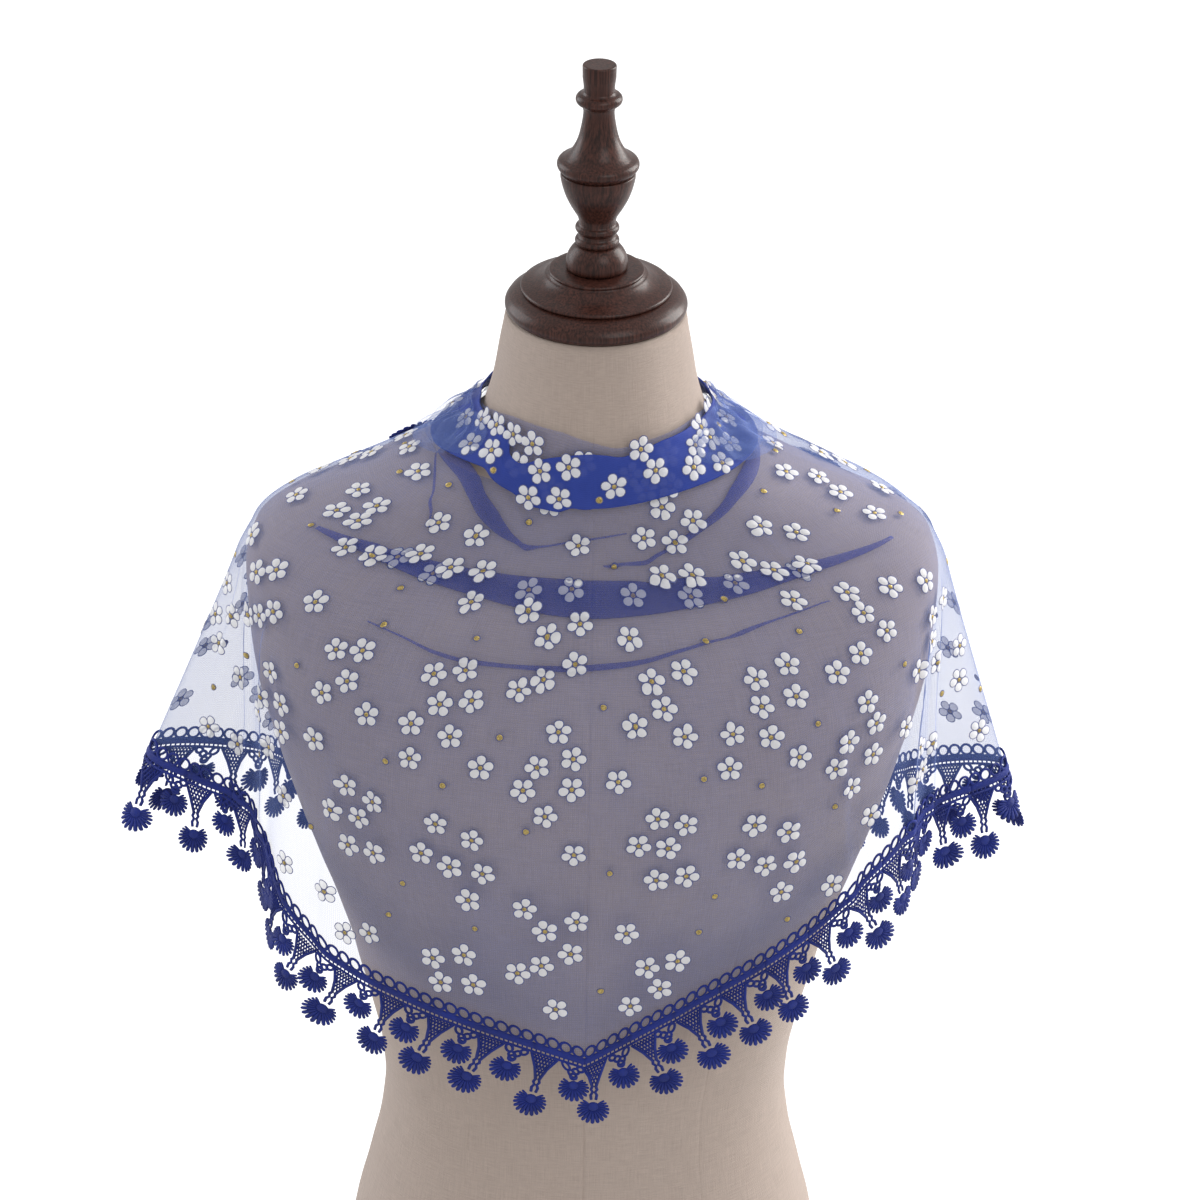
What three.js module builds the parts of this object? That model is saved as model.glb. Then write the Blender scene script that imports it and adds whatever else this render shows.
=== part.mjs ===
// Lace shawl worn point-down on a limbless dress form with a turned wooden neck cap and finial.
//
// Millimetres, +Z up. The origin is the centre of the form's flat base and the front faces -Y.
// An azimuth is an angle round the upright axis, in degrees: 0 is centre front, 90 the right
// of a front view, 180 centre back and -90 the left.
//
// The shawl is one triangle of net with lace sewn along its two short sides. Its point hangs at
// the front. Each half passes over a shoulder, crosses the other half at the back and rises
// to the neck, where the ends are wound into the neck band.

import * as THREE from 'three';

// ---- The dress form ----

const NECK_TOP = 690;
const FORM_SEGMENTS = 44;
const FORM_RINGS = 26;

// Sections of the form, from the base up. side is half the width; front and back are the depths
// from the axis; power is the roundness of the section, 2 for an ellipse.
const FORM_SECTIONS = [
  { z: 0, side: 158, front: 99, back: 112, power: 2.15 },
  { z: 100, side: 136, front: 93, back: 101, power: 2.12 },
  { z: 200, side: 117, front: 84, back: 77, power: 2.1 },
  { z: 297, side: 134, front: 97, back: 88, power: 2.12 },
  { z: 391, side: 163, front: 115, back: 100, power: 2.2 },
  { z: 430, side: 174, front: 119, back: 104, power: 2.25 },
  { z: 488, side: 187, front: 111, back: 108, power: 2.3 },
  { z: 538, side: 190, front: 90, back: 102, power: 2.25 },
  { z: 558, side: 185, front: 77, back: 91, power: 2.15 },
  { z: 569, side: 174, front: 70, back: 83, power: 2.05 },
  { z: 580, side: 153, front: 65, back: 76, power: 2 },
  { z: 594, side: 123, front: 62, back: 70, power: 2 },
  { z: 612, side: 87, front: 60, back: 64, power: 2 },
  { z: 633, side: 60, front: 57, back: 59, power: 2 },
  { z: NECK_TOP, side: 48, front: 47, back: 49, power: 2 },
];

// ---- The turned neck cap and finial ----

const TURNED_SEGMENTS = 22;
const JOINT_GAP = 0.3;
const CAP_PLATE = { z: NECK_TOP + JOINT_GAP, radius: 48.7, height: 12.4, lip: 6 };
const CAP_STEP = { radius: 40.4, edge: 3, plateau: 25.5, plateauEdge: 2.2, height: 11.6 };
const VASE = { dome: 16.5, ring: 11.8, waist: 9.8, cup: 19.8, height: 55 };
const BELL = { radius: 21.7, neck: 8, collar: 12.3, peg: 8.9, height: 59.5 };

// ---- The shawl ----

const NET = 1;
const CLEAR_OF_FORM = 1.5;
const LAYER_GAP = 1;
const NECK_LINE = 612;
const BAND_HEIGHT = 14;
const BAND_RISE = 9;
const FRINGE_REACH = 44;
const SEAM_GAP = 0.3;

// The layers from the form outwards: each is the inner face of a wall, NET thick.
const NET_LAYER = CLEAR_OF_FORM;
const LACE_LAYER = NET_LAYER + NET + LAYER_GAP;
const OVER_NET_LAYER = LACE_LAYER + NET + LAYER_GAP;
const OVER_LACE_LAYER = OVER_NET_LAYER + NET + LAYER_GAP;

// Soft flutes that fall from the shoulders and the shoulder blades. reach is how far a flute
// stands out for each millimetre that it has fallen, and width is its half width in degrees.
const FLUTES = [
  { azimuth: 92, top: 556, reach: 0.31, width: 5.6 },
  { azimuth: -92, top: 556, reach: 0.41, width: 5.6 },
  { azimuth: 125, top: 520, reach: 0.1, width: 6.5 },
  { azimuth: -129, top: 520, reach: 0.12, width: 7 },
  { azimuth: 71, top: 500, reach: 0.03, width: 6 },
  { azimuth: -68, top: 500, reach: 0.045, width: 6 },
];
const FLUTE_SOFTNESS = 12;

// Height of the net's lower edge round the body, for each half of the shawl. Past 180 degrees
// the half has crossed the centre back and its edge climbs to the neck.
const HEM = [
  { azimuth: 0, left: 290, right: 290 },
  { azimuth: 15, left: 301, right: 310 },
  { azimuth: 30, left: 311, right: 330 },
  { azimuth: 45, left: 321, right: 349 },
  { azimuth: 58, left: 331, right: 370 },
  { azimuth: 66, left: 352, right: 388 },
  { azimuth: 74, left: 379, right: 399 },
  { azimuth: 84, left: 397, right: 401 },
  { azimuth: 92, left: 407, right: 405 },
  { azimuth: 102, left: 390, right: 386 },
  { azimuth: 120, left: 338, right: 342 },
  { azimuth: 140, left: 298, right: 306 },
  { azimuth: 160, left: 274, right: 279 },
  { azimuth: 180, left: 266, right: 264 },
  { azimuth: 190, left: 318, right: 312 },
  { azimuth: 200, left: 390, right: 384 },
  { azimuth: 210, left: 463, right: 457 },
  { azimuth: 220, left: 536, right: 530 },
  { azimuth: 230, left: 598, right: 598 },
];
const SIDE_LINE = 92;
const WING_END = 230;
const FRONT_COLUMNS = 18;
const WING_COLUMNS = 28;
const NET_ROWS = 12;

// The trim hangs straight down except where the edge climbs at the back. There it leans away
// from the net, by up to TRIM_LEAN degrees from upright.
const TRIM_LEAN = 52;
const LEAN_START = 178;
const LEAN_FULL = 196;

// The half that lies over the other at the back moves out to its own layer between these.
const OVERLAP_START = 99;
const OVERLAP_FULL = 109;

// Doubled folds that swing across the chest. Each row is a station along the fold.
const COWL_FOLDS = {
  fold_broad: [
    { azimuth: -78, low: 570, high: 575 },
    { azimuth: -60, low: 559, high: 571 },
    { azimuth: -30, low: 551, high: 566 },
    { azimuth: 0, low: 548, high: 564 },
    { azimuth: 30, low: 552, high: 567 },
    { azimuth: 58, low: 561, high: 572 },
    { azimuth: 78, low: 571, high: 576 },
  ],
  fold_thin: [
    { azimuth: -54, low: 543, high: 545.5 },
    { azimuth: -28, low: 529, high: 532 },
    { azimuth: 0, low: 524, high: 527.5 },
    { azimuth: 32, low: 531, high: 534 },
    { azimuth: 62, low: 547.5, high: 550 },
  ],
  fold_neck_left: [
    { azimuth: -66, low: 602, high: 604 },
    { azimuth: -52, low: 594, high: 600 },
    { azimuth: -38, low: 584, high: 592 },
    { azimuth: -20, low: 582, high: 589 },
    { azimuth: -2, low: 586, high: 589.5 },
  ],
  fold_neck_right: [
    { azimuth: 8, low: 577, high: 579.5 },
    { azimuth: 24, low: 576, high: 583 },
    { azimuth: 40, low: 580, high: 589 },
    { azimuth: 56, low: 592, high: 600 },
    { azimuth: 68, low: 602, high: 604 },
  ],
};

// The band wound round the neck, and the single layer that stands up inside it. An inset is how
// far a wall's inner face is from the form, at the wall's lower and upper edge.
const NECK_BAND = [
  { azimuth: 0, low: 605, high: 627 },
  { azimuth: 45, low: 607, high: 631 },
  { azimuth: 90, low: 612, high: 633 },
  { azimuth: 135, low: 614, high: 636 },
  { azimuth: 180, low: 614, high: 638 },
  { azimuth: 225, low: 614, high: 636 },
  { azimuth: 270, low: 612, high: 633 },
  { azimuth: 315, low: 606, high: 629 },
  { azimuth: 360, low: 605, high: 627 },
];
const NECK_BAND_WALL = 2;
const NECK_BAND_INSET = { low: 8, high: 3.4 };
const NECK_STAND = [
  { azimuth: 0, low: 616, high: 640 },
  { azimuth: 90, low: 620, high: 637 },
  { azimuth: 180, low: 622, high: 642 },
  { azimuth: 270, low: 620, high: 637 },
  { azimuth: 360, low: 616, high: 640 },
];
const NECK_STAND_INSET = { low: 1.5, high: 1.5 };
const NECK_COLUMNS = 32;
const NECK_BAND_ROWS = 4;
const NECK_STAND_ROWS = 3;
const FOLD_COLUMNS = 16;
const FOLD_ROWS = 2;

// ---- Materials ----

const material = (color, roughness, metalness = 0) =>
  new THREE.MeshStandardMaterial({ color, roughness, metalness });
const linen = material(0xbfae9f, 0.85);
const walnut = material(0x2a1c19, 0.35);
const net = material(0x5f69b4, 0.6);
const doubledNet = material(0x2f429f, 0.6);
const lace = material(0x27388f, 0.7);

// ---- Curves through tables ----

// The value of one column of a table at a place along its key column, by a cubic that never
// swings past the table's own values.
function tableValue(rows, key, column, place) {
  const last = rows.length - 1;
  if (place <= rows[0][key]) return rows[0][column];
  if (place >= rows[last][key]) return rows[last][column];
  let i = 0;
  while (rows[i + 1][key] < place) i += 1;
  const slope = (k) => (rows[k + 1][column] - rows[k][column]) / (rows[k + 1][key] - rows[k][key]);
  const tangent = (k) => {
    if (k === 0) return slope(0);
    if (k === last) return slope(last - 1);
    const before = slope(k - 1);
    const after = slope(k);
    return before * after <= 0 ? 0 : (2 * before * after) / (before + after);
  };
  const span = rows[i + 1][key] - rows[i][key];
  const t = (place - rows[i][key]) / span;
  const start = (1 + 2 * t) * (1 - t) ** 2 * rows[i][column] + t * (1 - t) ** 2 * span * tangent(i);
  const end = t * t * (3 - 2 * t) * rows[i + 1][column] + t * t * (t - 1) * span * tangent(i + 1);
  return start + end;
}

const SIDE = 90;
const smoothStep = (from, to, value) => THREE.MathUtils.smoothstep(value, from, to);
const radians = THREE.MathUtils.degToRad;

// ---- The form's surface and the way cloth hangs from it ----

// Distance from the axis to the form, in the direction of an azimuth, at a height.
function formRadius(azimuth, z) {
  const across = Math.abs(Math.sin(radians(azimuth)));
  const along = Math.cos(radians(azimuth));
  const side = tableValue(FORM_SECTIONS, 'z', 'side', z);
  const depth = tableValue(FORM_SECTIONS, 'z', along > 0 ? 'front' : 'back', z);
  const power = tableValue(FORM_SECTIONS, 'z', 'power', z);
  return ((across / side) ** power + (Math.abs(along) / depth) ** power) ** (-1 / power);
}

function atAzimuth(azimuth, radius, z) {
  const angle = radians(azimuth);
  return new THREE.Vector3(radius * Math.sin(angle), -radius * Math.cos(angle), z);
}

const formPoint = (azimuth, z) => atAzimuth(azimuth, formRadius(azimuth, z), z);

// Azimuths that share out one turn round the body.
function turnsAround(count) {
  return Array.from({ length: count }, (_, i) => (360 * i) / count);
}

// The height at which the form is widest in one direction, above the waist. Cloth touches the
// form down to here and hangs free below.
const PEAK_SEARCH = { from: 380, to: 560, step: 2 };
const peakCache = new Map();
function peakHeight(azimuth) {
  if (peakCache.has(azimuth)) return peakCache.get(azimuth);
  let best = PEAK_SEARCH.from;
  for (let z = PEAK_SEARCH.from; z <= PEAK_SEARCH.to; z += PEAK_SEARCH.step) {
    if (formRadius(azimuth, z) > formRadius(azimuth, best)) best = z;
  }
  const [below, here, above] = [-1, 0, 1].map((k) => formRadius(azimuth, best + k * PEAK_SEARCH.step));
  const bend = below - 2 * here + above;
  const peak = best + (PEAK_SEARCH.step * (below - above)) / (2 * bend);
  peakCache.set(azimuth, peak);
  return peak;
}

// How far the flutes stand out from the hanging cloth.
function fluteReach(azimuth, z) {
  let total = 0;
  for (const flute of FLUTES) {
    const turn = THREE.MathUtils.euclideanModulo(azimuth - flute.azimuth + 180, 360) - 180;
    const fall = Math.max(0, flute.top - z);
    total += (flute.reach * fall ** 2 * Math.exp(-((turn / flute.width) ** 2))) / (fall + FLUTE_SOFTNESS);
  }
  return total;
}

// The surface on which the net lies: on the form above its widest height, hanging below it.
function drape(azimuth, z) {
  const contact = formRadius(azimuth, Math.max(z, peakHeight(azimuth)));
  return atAzimuth(azimuth, contact + fluteReach(azimuth, z), z);
}

// The same surface moved out along its normal.
const NORMAL_STEP = { azimuth: 0.4, z: 0.4 };
function drapeOut(azimuth, z, offset) {
  const along = drape(azimuth + NORMAL_STEP.azimuth, z).sub(drape(azimuth - NORMAL_STEP.azimuth, z));
  const down = drape(azimuth, z - NORMAL_STEP.z).sub(drape(azimuth, z + NORMAL_STEP.z));
  return drape(azimuth, z).addScaledVector(down.cross(along).normalize(), offset);
}

// ---- Cloth walls ----

// A closed wall between two grids of points, the outer and the inner face. Columns run round the
// body towards +azimuth and rows run down. A looped wall joins its last column to its first.
function wallGeometry(outer, inner, looped = false) {
  const columns = outer.length;
  const rows = outer[0].length;
  const positions = [...outer, ...inner].flatMap((column) => column.flatMap((p) => p.toArray()));
  const triangles = [];
  const at = (face, i, j) => face * columns * rows + (i % columns) * rows + j;
  const quad = (a, b, c, d) => triangles.push(a, b, c, a, c, d);
  const spans = looped ? columns : columns - 1;
  for (let i = 0; i < spans; i += 1) {
    for (let j = 0; j + 1 < rows; j += 1) {
      quad(at(0, i, j), at(0, i, j + 1), at(0, i + 1, j + 1), at(0, i + 1, j));
      quad(at(1, i, j), at(1, i + 1, j), at(1, i + 1, j + 1), at(1, i, j + 1));
    }
    quad(at(0, i, 0), at(0, i + 1, 0), at(1, i + 1, 0), at(1, i, 0));
    quad(at(0, i, rows - 1), at(1, i, rows - 1), at(1, i + 1, rows - 1), at(0, i + 1, rows - 1));
  }
  if (!looped) {
    for (let j = 0; j + 1 < rows; j += 1) {
      const end = columns - 1;
      quad(at(0, 0, j), at(1, 0, j), at(1, 0, j + 1), at(0, 0, j + 1));
      quad(at(0, end, j), at(0, end, j + 1), at(1, end, j + 1), at(1, end, j));
    }
  }
  const geometry = new THREE.BufferGeometry();
  geometry.setAttribute('position', new THREE.Float32BufferAttribute(positions, 3));
  geometry.setIndex(triangles);
  geometry.computeVertexNormals();
  return geometry;
}

// Splits a curve into count stretches, shorter where it bends: each has the same length once
// BEND_WEIGHT millimetres are added for every radian that it turns. Returns the values of the
// curve's parameter at the count + 1 ends.
const CURVE_SAMPLES = 240;
const BEND_WEIGHT = 90;
function evenSteps(curve, from, to, count) {
  const values = [];
  const lengths = [0];
  for (let k = 0; k <= CURVE_SAMPLES; k += 1) values.push(from + ((to - from) * k) / CURVE_SAMPLES);
  const points = values.map(curve);
  const step = (k) => points[k].clone().sub(points[k - 1]);
  for (let k = 1; k <= CURVE_SAMPLES; k += 1) {
    const turn = k > 1 ? step(k).angleTo(step(k - 1)) : 0;
    lengths.push(lengths[k - 1] + step(k).length() + BEND_WEIGHT * turn);
  }
  const steps = [];
  let k = 0;
  for (let n = 0; n <= count; n += 1) {
    const wanted = (lengths[CURVE_SAMPLES] * n) / count;
    while (k < CURVE_SAMPLES - 1 && lengths[k + 1] < wanted) k += 1;
    const share = (wanted - lengths[k]) / (lengths[k + 1] - lengths[k]);
    steps.push(values[k] + share * (values[k + 1] - values[k]));
  }
  return steps;
}

const hemHeight = (half, azimuth) => tableValue(HEM, 'azimuth', half, azimuth);

// Turns an azimuth measured along one half of the shawl into one round the body.
const onBody = (half, azimuth) => (half === 'right' ? azimuth : -azimuth);

// Azimuths along one half, in order of +azimuth round the body, so that faces point out.
function halfStations(half, from, to, count) {
  const edge = (azimuth) => drape(onBody(half, azimuth), hemHeight(half, azimuth));
  const stations = evenSteps(edge, from, to, count);
  return half === 'right' ? stations : stations.reverse();
}

// How far out a wing lies: the right half crosses over the left one at the back.
function wingLift(half, azimuth, under, over) {
  const share = half === 'right' ? smoothStep(OVERLAP_START, OVERLAP_FULL, azimuth) : 0;
  return under + share * (over - under);
}

// A stretch of net from the neck line down to the lower edge.
function netGrid(stations, rows, height, offset) {
  return stations.map(({ body, half, along }) => {
    const bottom = hemHeight(half, along);
    const levels = evenSteps((z) => drape(body, z), NECK_LINE, bottom, rows);
    return levels.map((z) => drapeOut(body, z, offset(half, along) + height));
  });
}

function netWall(stations, rows, offset) {
  return wallGeometry(netGrid(stations, rows, NET, offset), netGrid(stations, rows, 0, offset));
}

function stationsOf(half, from, to, count) {
  return halfStations(half, from, to, count).map((along) => ({ body: onBody(half, along), half, along }));
}

// A strip of the trim. reach runs down from the net's lower edge and is negative above it.
function trimGrid(stations, reaches, height, offset) {
  return stations.map(({ body, half, along }) => {
    const edge = hemHeight(half, along);
    const lean = radians(TRIM_LEAN) * smoothStep(LEAN_START, LEAN_FULL, along);
    return reaches.map((reach) => {
      const z = edge - reach * Math.cos(lean);
      const radius = Math.hypot(drape(body, z).x, drape(body, z).y);
      const turn = THREE.MathUtils.radToDeg((reach * Math.sin(lean)) / radius);
      return drapeOut(body + onBody(half, turn), z, offset(half, along) + height);
    });
  });
}

function trimWall(stations, reaches, offset) {
  return wallGeometry(
    trimGrid(stations, reaches, NET, offset),
    trimGrid(stations, reaches, 0, offset),
  );
}

// A strip between two heights that lies on the drape, its edges taken from a table.
function stripGrid(table, azimuths, rows, inset, height) {
  return azimuths.map((azimuth) => {
    const low = tableValue(table, 'azimuth', 'low', azimuth);
    const high = tableValue(table, 'azimuth', 'high', azimuth);
    const column = [];
    for (let j = 0; j <= rows; j += 1) {
      const fall = j / rows;
      const z = high + (low - high) * fall;
      column.push(drapeOut(azimuth, z, inset.high + (inset.low - inset.high) * fall + height));
    }
    return column;
  });
}

// ---- Pieces ----

const shawlOnForm = new THREE.Group();

function addPiece(name, geometry, finish) {
  const mesh = new THREE.Mesh(geometry, finish);
  mesh.name = name;
  shawlOnForm.add(mesh);
  return mesh;
}

function formGeometry() {
  const levels = evenSteps((z) => formPoint(SIDE, z), 0, NECK_TOP, FORM_RINGS);
  const rings = levels.map((z) => turnsAround(FORM_SEGMENTS).map((azimuth) => formPoint(azimuth, z)));
  const positions = [0, 0, 0, ...rings.flatMap((ring) => ring.flatMap((p) => p.toArray())), 0, 0, NECK_TOP];
  const at = (k, i) => 1 + k * FORM_SEGMENTS + (i % FORM_SEGMENTS);
  const crown = 1 + rings.length * FORM_SEGMENTS;
  const triangles = [];
  for (let i = 0; i < FORM_SEGMENTS; i += 1) {
    triangles.push(0, at(0, i + 1), at(0, i));
    triangles.push(crown, at(rings.length - 1, i), at(rings.length - 1, i + 1));
    for (let k = 0; k + 1 < rings.length; k += 1) {
      triangles.push(at(k, i), at(k, i + 1), at(k + 1, i + 1));
      triangles.push(at(k, i), at(k + 1, i + 1), at(k + 1, i));
    }
  }
  const geometry = new THREE.BufferGeometry();
  geometry.setAttribute('position', new THREE.Float32BufferAttribute(positions, 3));
  geometry.setIndex(triangles);
  geometry.computeVertexNormals();
  return geometry;
}

// A turned piece from a profile of [radius, height] pairs, closed at the axis, standing at z.
function addTurned(name, profile, z) {
  const points = [[0, profile[0][1]], ...profile, [0, profile[profile.length - 1][1]]];
  const geometry = new THREE.LatheGeometry(points.map(([r, h]) => new THREE.Vector2(r, h)), TURNED_SEGMENTS);
  geometry.rotateX(Math.PI / 2);
  const mesh = addPiece(name, geometry, walnut);
  mesh.position.z = z;
  return mesh;
}

// Points of an arc in a profile, by its centre, radius and the angles from level at its ends.
function arc(centreRadius, centreHeight, radius, from, to, count) {
  const points = [];
  for (let k = 0; k <= count; k += 1) {
    const angle = radians(from + ((to - from) * k) / count);
    points.push([centreRadius + radius * Math.cos(angle), centreHeight + radius * Math.sin(angle)]);
  }
  return points;
}

function addNeckCap() {
  const { z, radius, height, lip } = CAP_PLATE;
  const stepSeat = z + height + JOINT_GAP;
  addTurned('cap_plate', [
    [radius - 2.5, 0],
    ...arc(radius - 4.2, 4.2, 4.2, -62, 40, 4),
    [radius - lip, height - 1.2],
    [CAP_STEP.radius - 1, height],
  ], z);
  const foot = CAP_STEP.edge;
  addTurned('cap_step', [
    [CAP_STEP.radius - 1.2, 0],
    [CAP_STEP.radius, foot * 0.35],
    [CAP_STEP.radius, foot * 0.8],
    [CAP_STEP.radius - 3, foot + 0.4],
    [CAP_STEP.radius - 7.5, foot + 1.8],
    [CAP_STEP.radius - 11, foot + 4.4],
    [CAP_STEP.plateau + 1, CAP_STEP.height - CAP_STEP.plateauEdge - 0.6],
    [CAP_STEP.plateau - 0.6, CAP_STEP.height - CAP_STEP.plateauEdge],
    [CAP_STEP.plateau, CAP_STEP.height - CAP_STEP.plateauEdge / 2],
    [CAP_STEP.plateau - 0.5, CAP_STEP.height],
  ], stepSeat);
  return stepSeat + CAP_STEP.height + JOINT_GAP;
}

function addFinial(seat) {
  const { dome, ring, waist, cup, height } = VASE;
  addTurned('finial_vase', [
    [dome - 1.2, 0],
    ...arc(0, 2.2, dome, -4, 46, 5),
    ...arc(ring - 2.2, 15.6, 2.2, -80, 80, 4),
    [waist, 19.6],
    ...arc(ring - 2.4, 23.6, 2.3, -78, 78, 4),
    [waist, 27.4],
    [waist + 1.6, 30.5],
    [cup * 0.72, 36],
    [cup * 0.88, 42],
    [cup * 0.97, 48],
    [cup, height - 2.2],
    [cup - 0.3, height],
  ], seat);
  const bell = seat + height + JOINT_GAP;
  addTurned('finial_bell', [
    [BELL.radius - 2.4, 0],
    ...arc(BELL.radius - 3.4, 4.2, 3.4, -70, 62, 4),
    [BELL.radius - 6.2, 10.2],
    [BELL.radius - 9.6, 16.5],
    [BELL.neck + 1.6, 24.5],
    [BELL.neck, 33],
    [BELL.neck + 0.6, 36.2],
    ...arc(BELL.collar - 3, 40.6, 3, -74, 74, 4),
    [BELL.peg - 0.9, 44.4],
    [BELL.peg - 0.4, 50],
    [BELL.peg, BELL.height - 0.8],
    [BELL.peg - 0.6, BELL.height],
  ], bell);
}

// The front of the net meets at the centre front, where it is made in two halves.
function addCape() {
  const sideGap = THREE.MathUtils.radToDeg(SEAM_GAP / 240);
  const centreGap = THREE.MathUtils.radToDeg(SEAM_GAP / 2 / 100);
  const lift = (half, along) => wingLift(half, along, NET_LAYER, OVER_NET_LAYER);
  for (const half of ['left', 'right']) {
    const front = stationsOf(half, centreGap, SIDE_LINE - sideGap, FRONT_COLUMNS);
    const wing = stationsOf(half, SIDE_LINE, WING_END, WING_COLUMNS);
    addPiece(`net_front_${half}`, netWall(front, NET_ROWS, () => NET_LAYER), net);
    addPiece(`net_wing_${half}`, netWall(wing, NET_ROWS, lift), net);
  }
}

function addTrim() {
  const lift = (half, along) => wingLift(half, along, LACE_LAYER, OVER_LACE_LAYER);
  const band = [-BAND_RISE, BAND_HEIGHT - BAND_RISE];
  const fringe = [band[1] + SEAM_GAP, (band[1] + FRINGE_REACH) / 2, FRINGE_REACH];
  const gap = THREE.MathUtils.radToDeg(SEAM_GAP / 100);
  for (const half of ['left', 'right']) {
    const front = stationsOf(half, gap, SIDE_LINE - gap, FRONT_COLUMNS);
    const back = stationsOf(half, SIDE_LINE, WING_END, 2 * WING_COLUMNS)
      .filter(({ along }, i) => along > LEAN_START || i % 2 === 0);
    addPiece(`lace_band_front_${half}`, trimWall(front, band, lift), lace);
    addPiece(`lace_band_back_${half}`, trimWall(back, band, lift), lace);
    addPiece(`lace_fringe_front_${half}`, trimWall(front, fringe, lift), lace);
    addPiece(`lace_fringe_back_${half}`, trimWall(back, fringe, lift), lace);
  }
}

function addCowlFolds() {
  const inset = { low: LACE_LAYER, high: LACE_LAYER };
  for (const [name, table] of Object.entries(COWL_FOLDS)) {
    const from = table[0].azimuth;
    const to = table[table.length - 1].azimuth;
    const azimuths = evenSteps((azimuth) => drape(azimuth, table[0].high), from, to, FOLD_COLUMNS);
    const outer = stripGrid(table, azimuths, FOLD_ROWS, inset, NET);
    const inner = stripGrid(table, azimuths, FOLD_ROWS, inset, 0);
    addPiece(name, wallGeometry(outer, inner), doubledNet);
  }
}

function addNeckWrap() {
  const azimuths = turnsAround(NECK_COLUMNS);
  const wrap = (table, rows, inset, thickness) => wallGeometry(
    stripGrid(table, azimuths, rows, inset, thickness),
    stripGrid(table, azimuths, rows, inset, 0),
    true,
  );
  addPiece('neck_band', wrap(NECK_BAND, NECK_BAND_ROWS, NECK_BAND_INSET, NECK_BAND_WALL), doubledNet);
  addPiece('neck_stand', wrap(NECK_STAND, NECK_STAND_ROWS, NECK_STAND_INSET, NET), net);
}

addPiece('dress_form', formGeometry(), linen);
addFinial(addNeckCap());
addCape();
addTrim();
addCowlFolds();
addNeckWrap();

export default shawlOnForm;
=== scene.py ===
"""Looks of a lace shawl on a dress form, laid out as an add-on and run as a script.

The sizes below are in millimetres and become metres where a mesh is made. +Z is up, the origin
is the centre of the form's flat base and the front faces -Y. An azimuth is an angle round the
upright axis in degrees: 0 is centre front, 90 the right of a front view, 180 centre back.
"""

import math

import bpy
import numpy as np
from bpy.props import FloatProperty, FloatVectorProperty, IntProperty, PointerProperty
from mathutils import Matrix


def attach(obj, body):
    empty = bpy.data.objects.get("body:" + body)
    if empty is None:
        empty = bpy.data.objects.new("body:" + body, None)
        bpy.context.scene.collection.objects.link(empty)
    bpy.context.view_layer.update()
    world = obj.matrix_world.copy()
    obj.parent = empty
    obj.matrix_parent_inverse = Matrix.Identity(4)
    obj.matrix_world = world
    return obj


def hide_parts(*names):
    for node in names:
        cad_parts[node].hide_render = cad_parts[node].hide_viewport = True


bl_info = {
    "name": "Lace Shawl on a Dress Form",
    "version": (1, 0, 0),
    "blender": (4, 5, 0),
    "location": "3D View > Sidebar > Shawl",
    "description": "Builds a sheer net shawl with flocked flowers and a lace edge on a linen form",
    "category": "Object",
}

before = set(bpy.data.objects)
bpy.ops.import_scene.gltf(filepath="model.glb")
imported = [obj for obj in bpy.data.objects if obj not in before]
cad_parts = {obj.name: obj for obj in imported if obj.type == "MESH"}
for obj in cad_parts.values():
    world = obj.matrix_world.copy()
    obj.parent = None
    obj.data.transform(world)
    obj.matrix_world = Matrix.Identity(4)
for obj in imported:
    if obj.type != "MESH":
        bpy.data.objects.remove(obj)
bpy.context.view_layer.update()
MM = 0.001
BODY = "root"


# ---- Tables and curves ----

def table(columns, rows):
    """A table as one array for each named column."""
    return dict(zip(columns.split(), np.array(rows, float).T))


NECK_TOP = 690
# Sections of the form, as in its solid: half width, depths to the front and back, roundness.
FORM_SECTIONS = table("z side front back power", [
    (0, 158, 99, 112, 2.15), (100, 136, 93, 101, 2.12), (200, 117, 84, 77, 2.1),
    (297, 134, 97, 88, 2.12), (391, 163, 115, 100, 2.2), (430, 174, 119, 104, 2.25),
    (488, 187, 111, 108, 2.3), (538, 190, 90, 102, 2.25), (558, 185, 77, 91, 2.15),
    (569, 174, 70, 83, 2.05), (580, 153, 65, 76, 2), (594, 123, 62, 70, 2),
    (612, 87, 60, 64, 2), (633, 60, 57, 59, 2), (NECK_TOP, 48, 47, 49, 2),
])
# Flutes that fall from the shoulders: how far each stands out per millimetre it has fallen.
FLUTES = table("azimuth top reach width", [
    (92, 556, 0.31, 5.6), (-92, 556, 0.41, 5.6), (125, 520, 0.1, 6.5),
    (-129, 520, 0.12, 7), (71, 500, 0.03, 6), (-68, 500, 0.045, 6),
])
FLUTE_SOFTNESS = 12
# Height of the net's lower edge along each half. Past 180 it has crossed the centre back.
HEM = table("azimuth left right", [
    (0, 290, 290), (15, 301, 310), (30, 311, 330), (45, 321, 349), (58, 331, 370),
    (66, 352, 388), (74, 379, 399), (84, 397, 401), (92, 407, 405), (102, 390, 386),
    (120, 338, 342), (140, 298, 306), (160, 274, 279), (180, 266, 264), (190, 318, 312),
    (200, 390, 384), (210, 463, 457), (220, 536, 530), (230, 598, 598),
])
SIDE_LINE, WING_END, NECK_LINE = 92, 230, 612
# Middle of each wall from the form outwards.
NET_LAYER, LACE_LAYER, OVER_NET_LAYER, OVER_LACE_LAYER = 2.0, 3.6, 6.0, 7.6
OVERLAP_START, OVERLAP_FULL = 99, 109
# How far the hanging lace leans from straight down, in degrees: on the climb at the back, from
# one azimuth to another, and in front.
TRIM_LEAN, LEAN_START, LEAN_FULL = 52, 178, 196
FRONT_LEAN = 21
BEND_WEIGHT = 90


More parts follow.
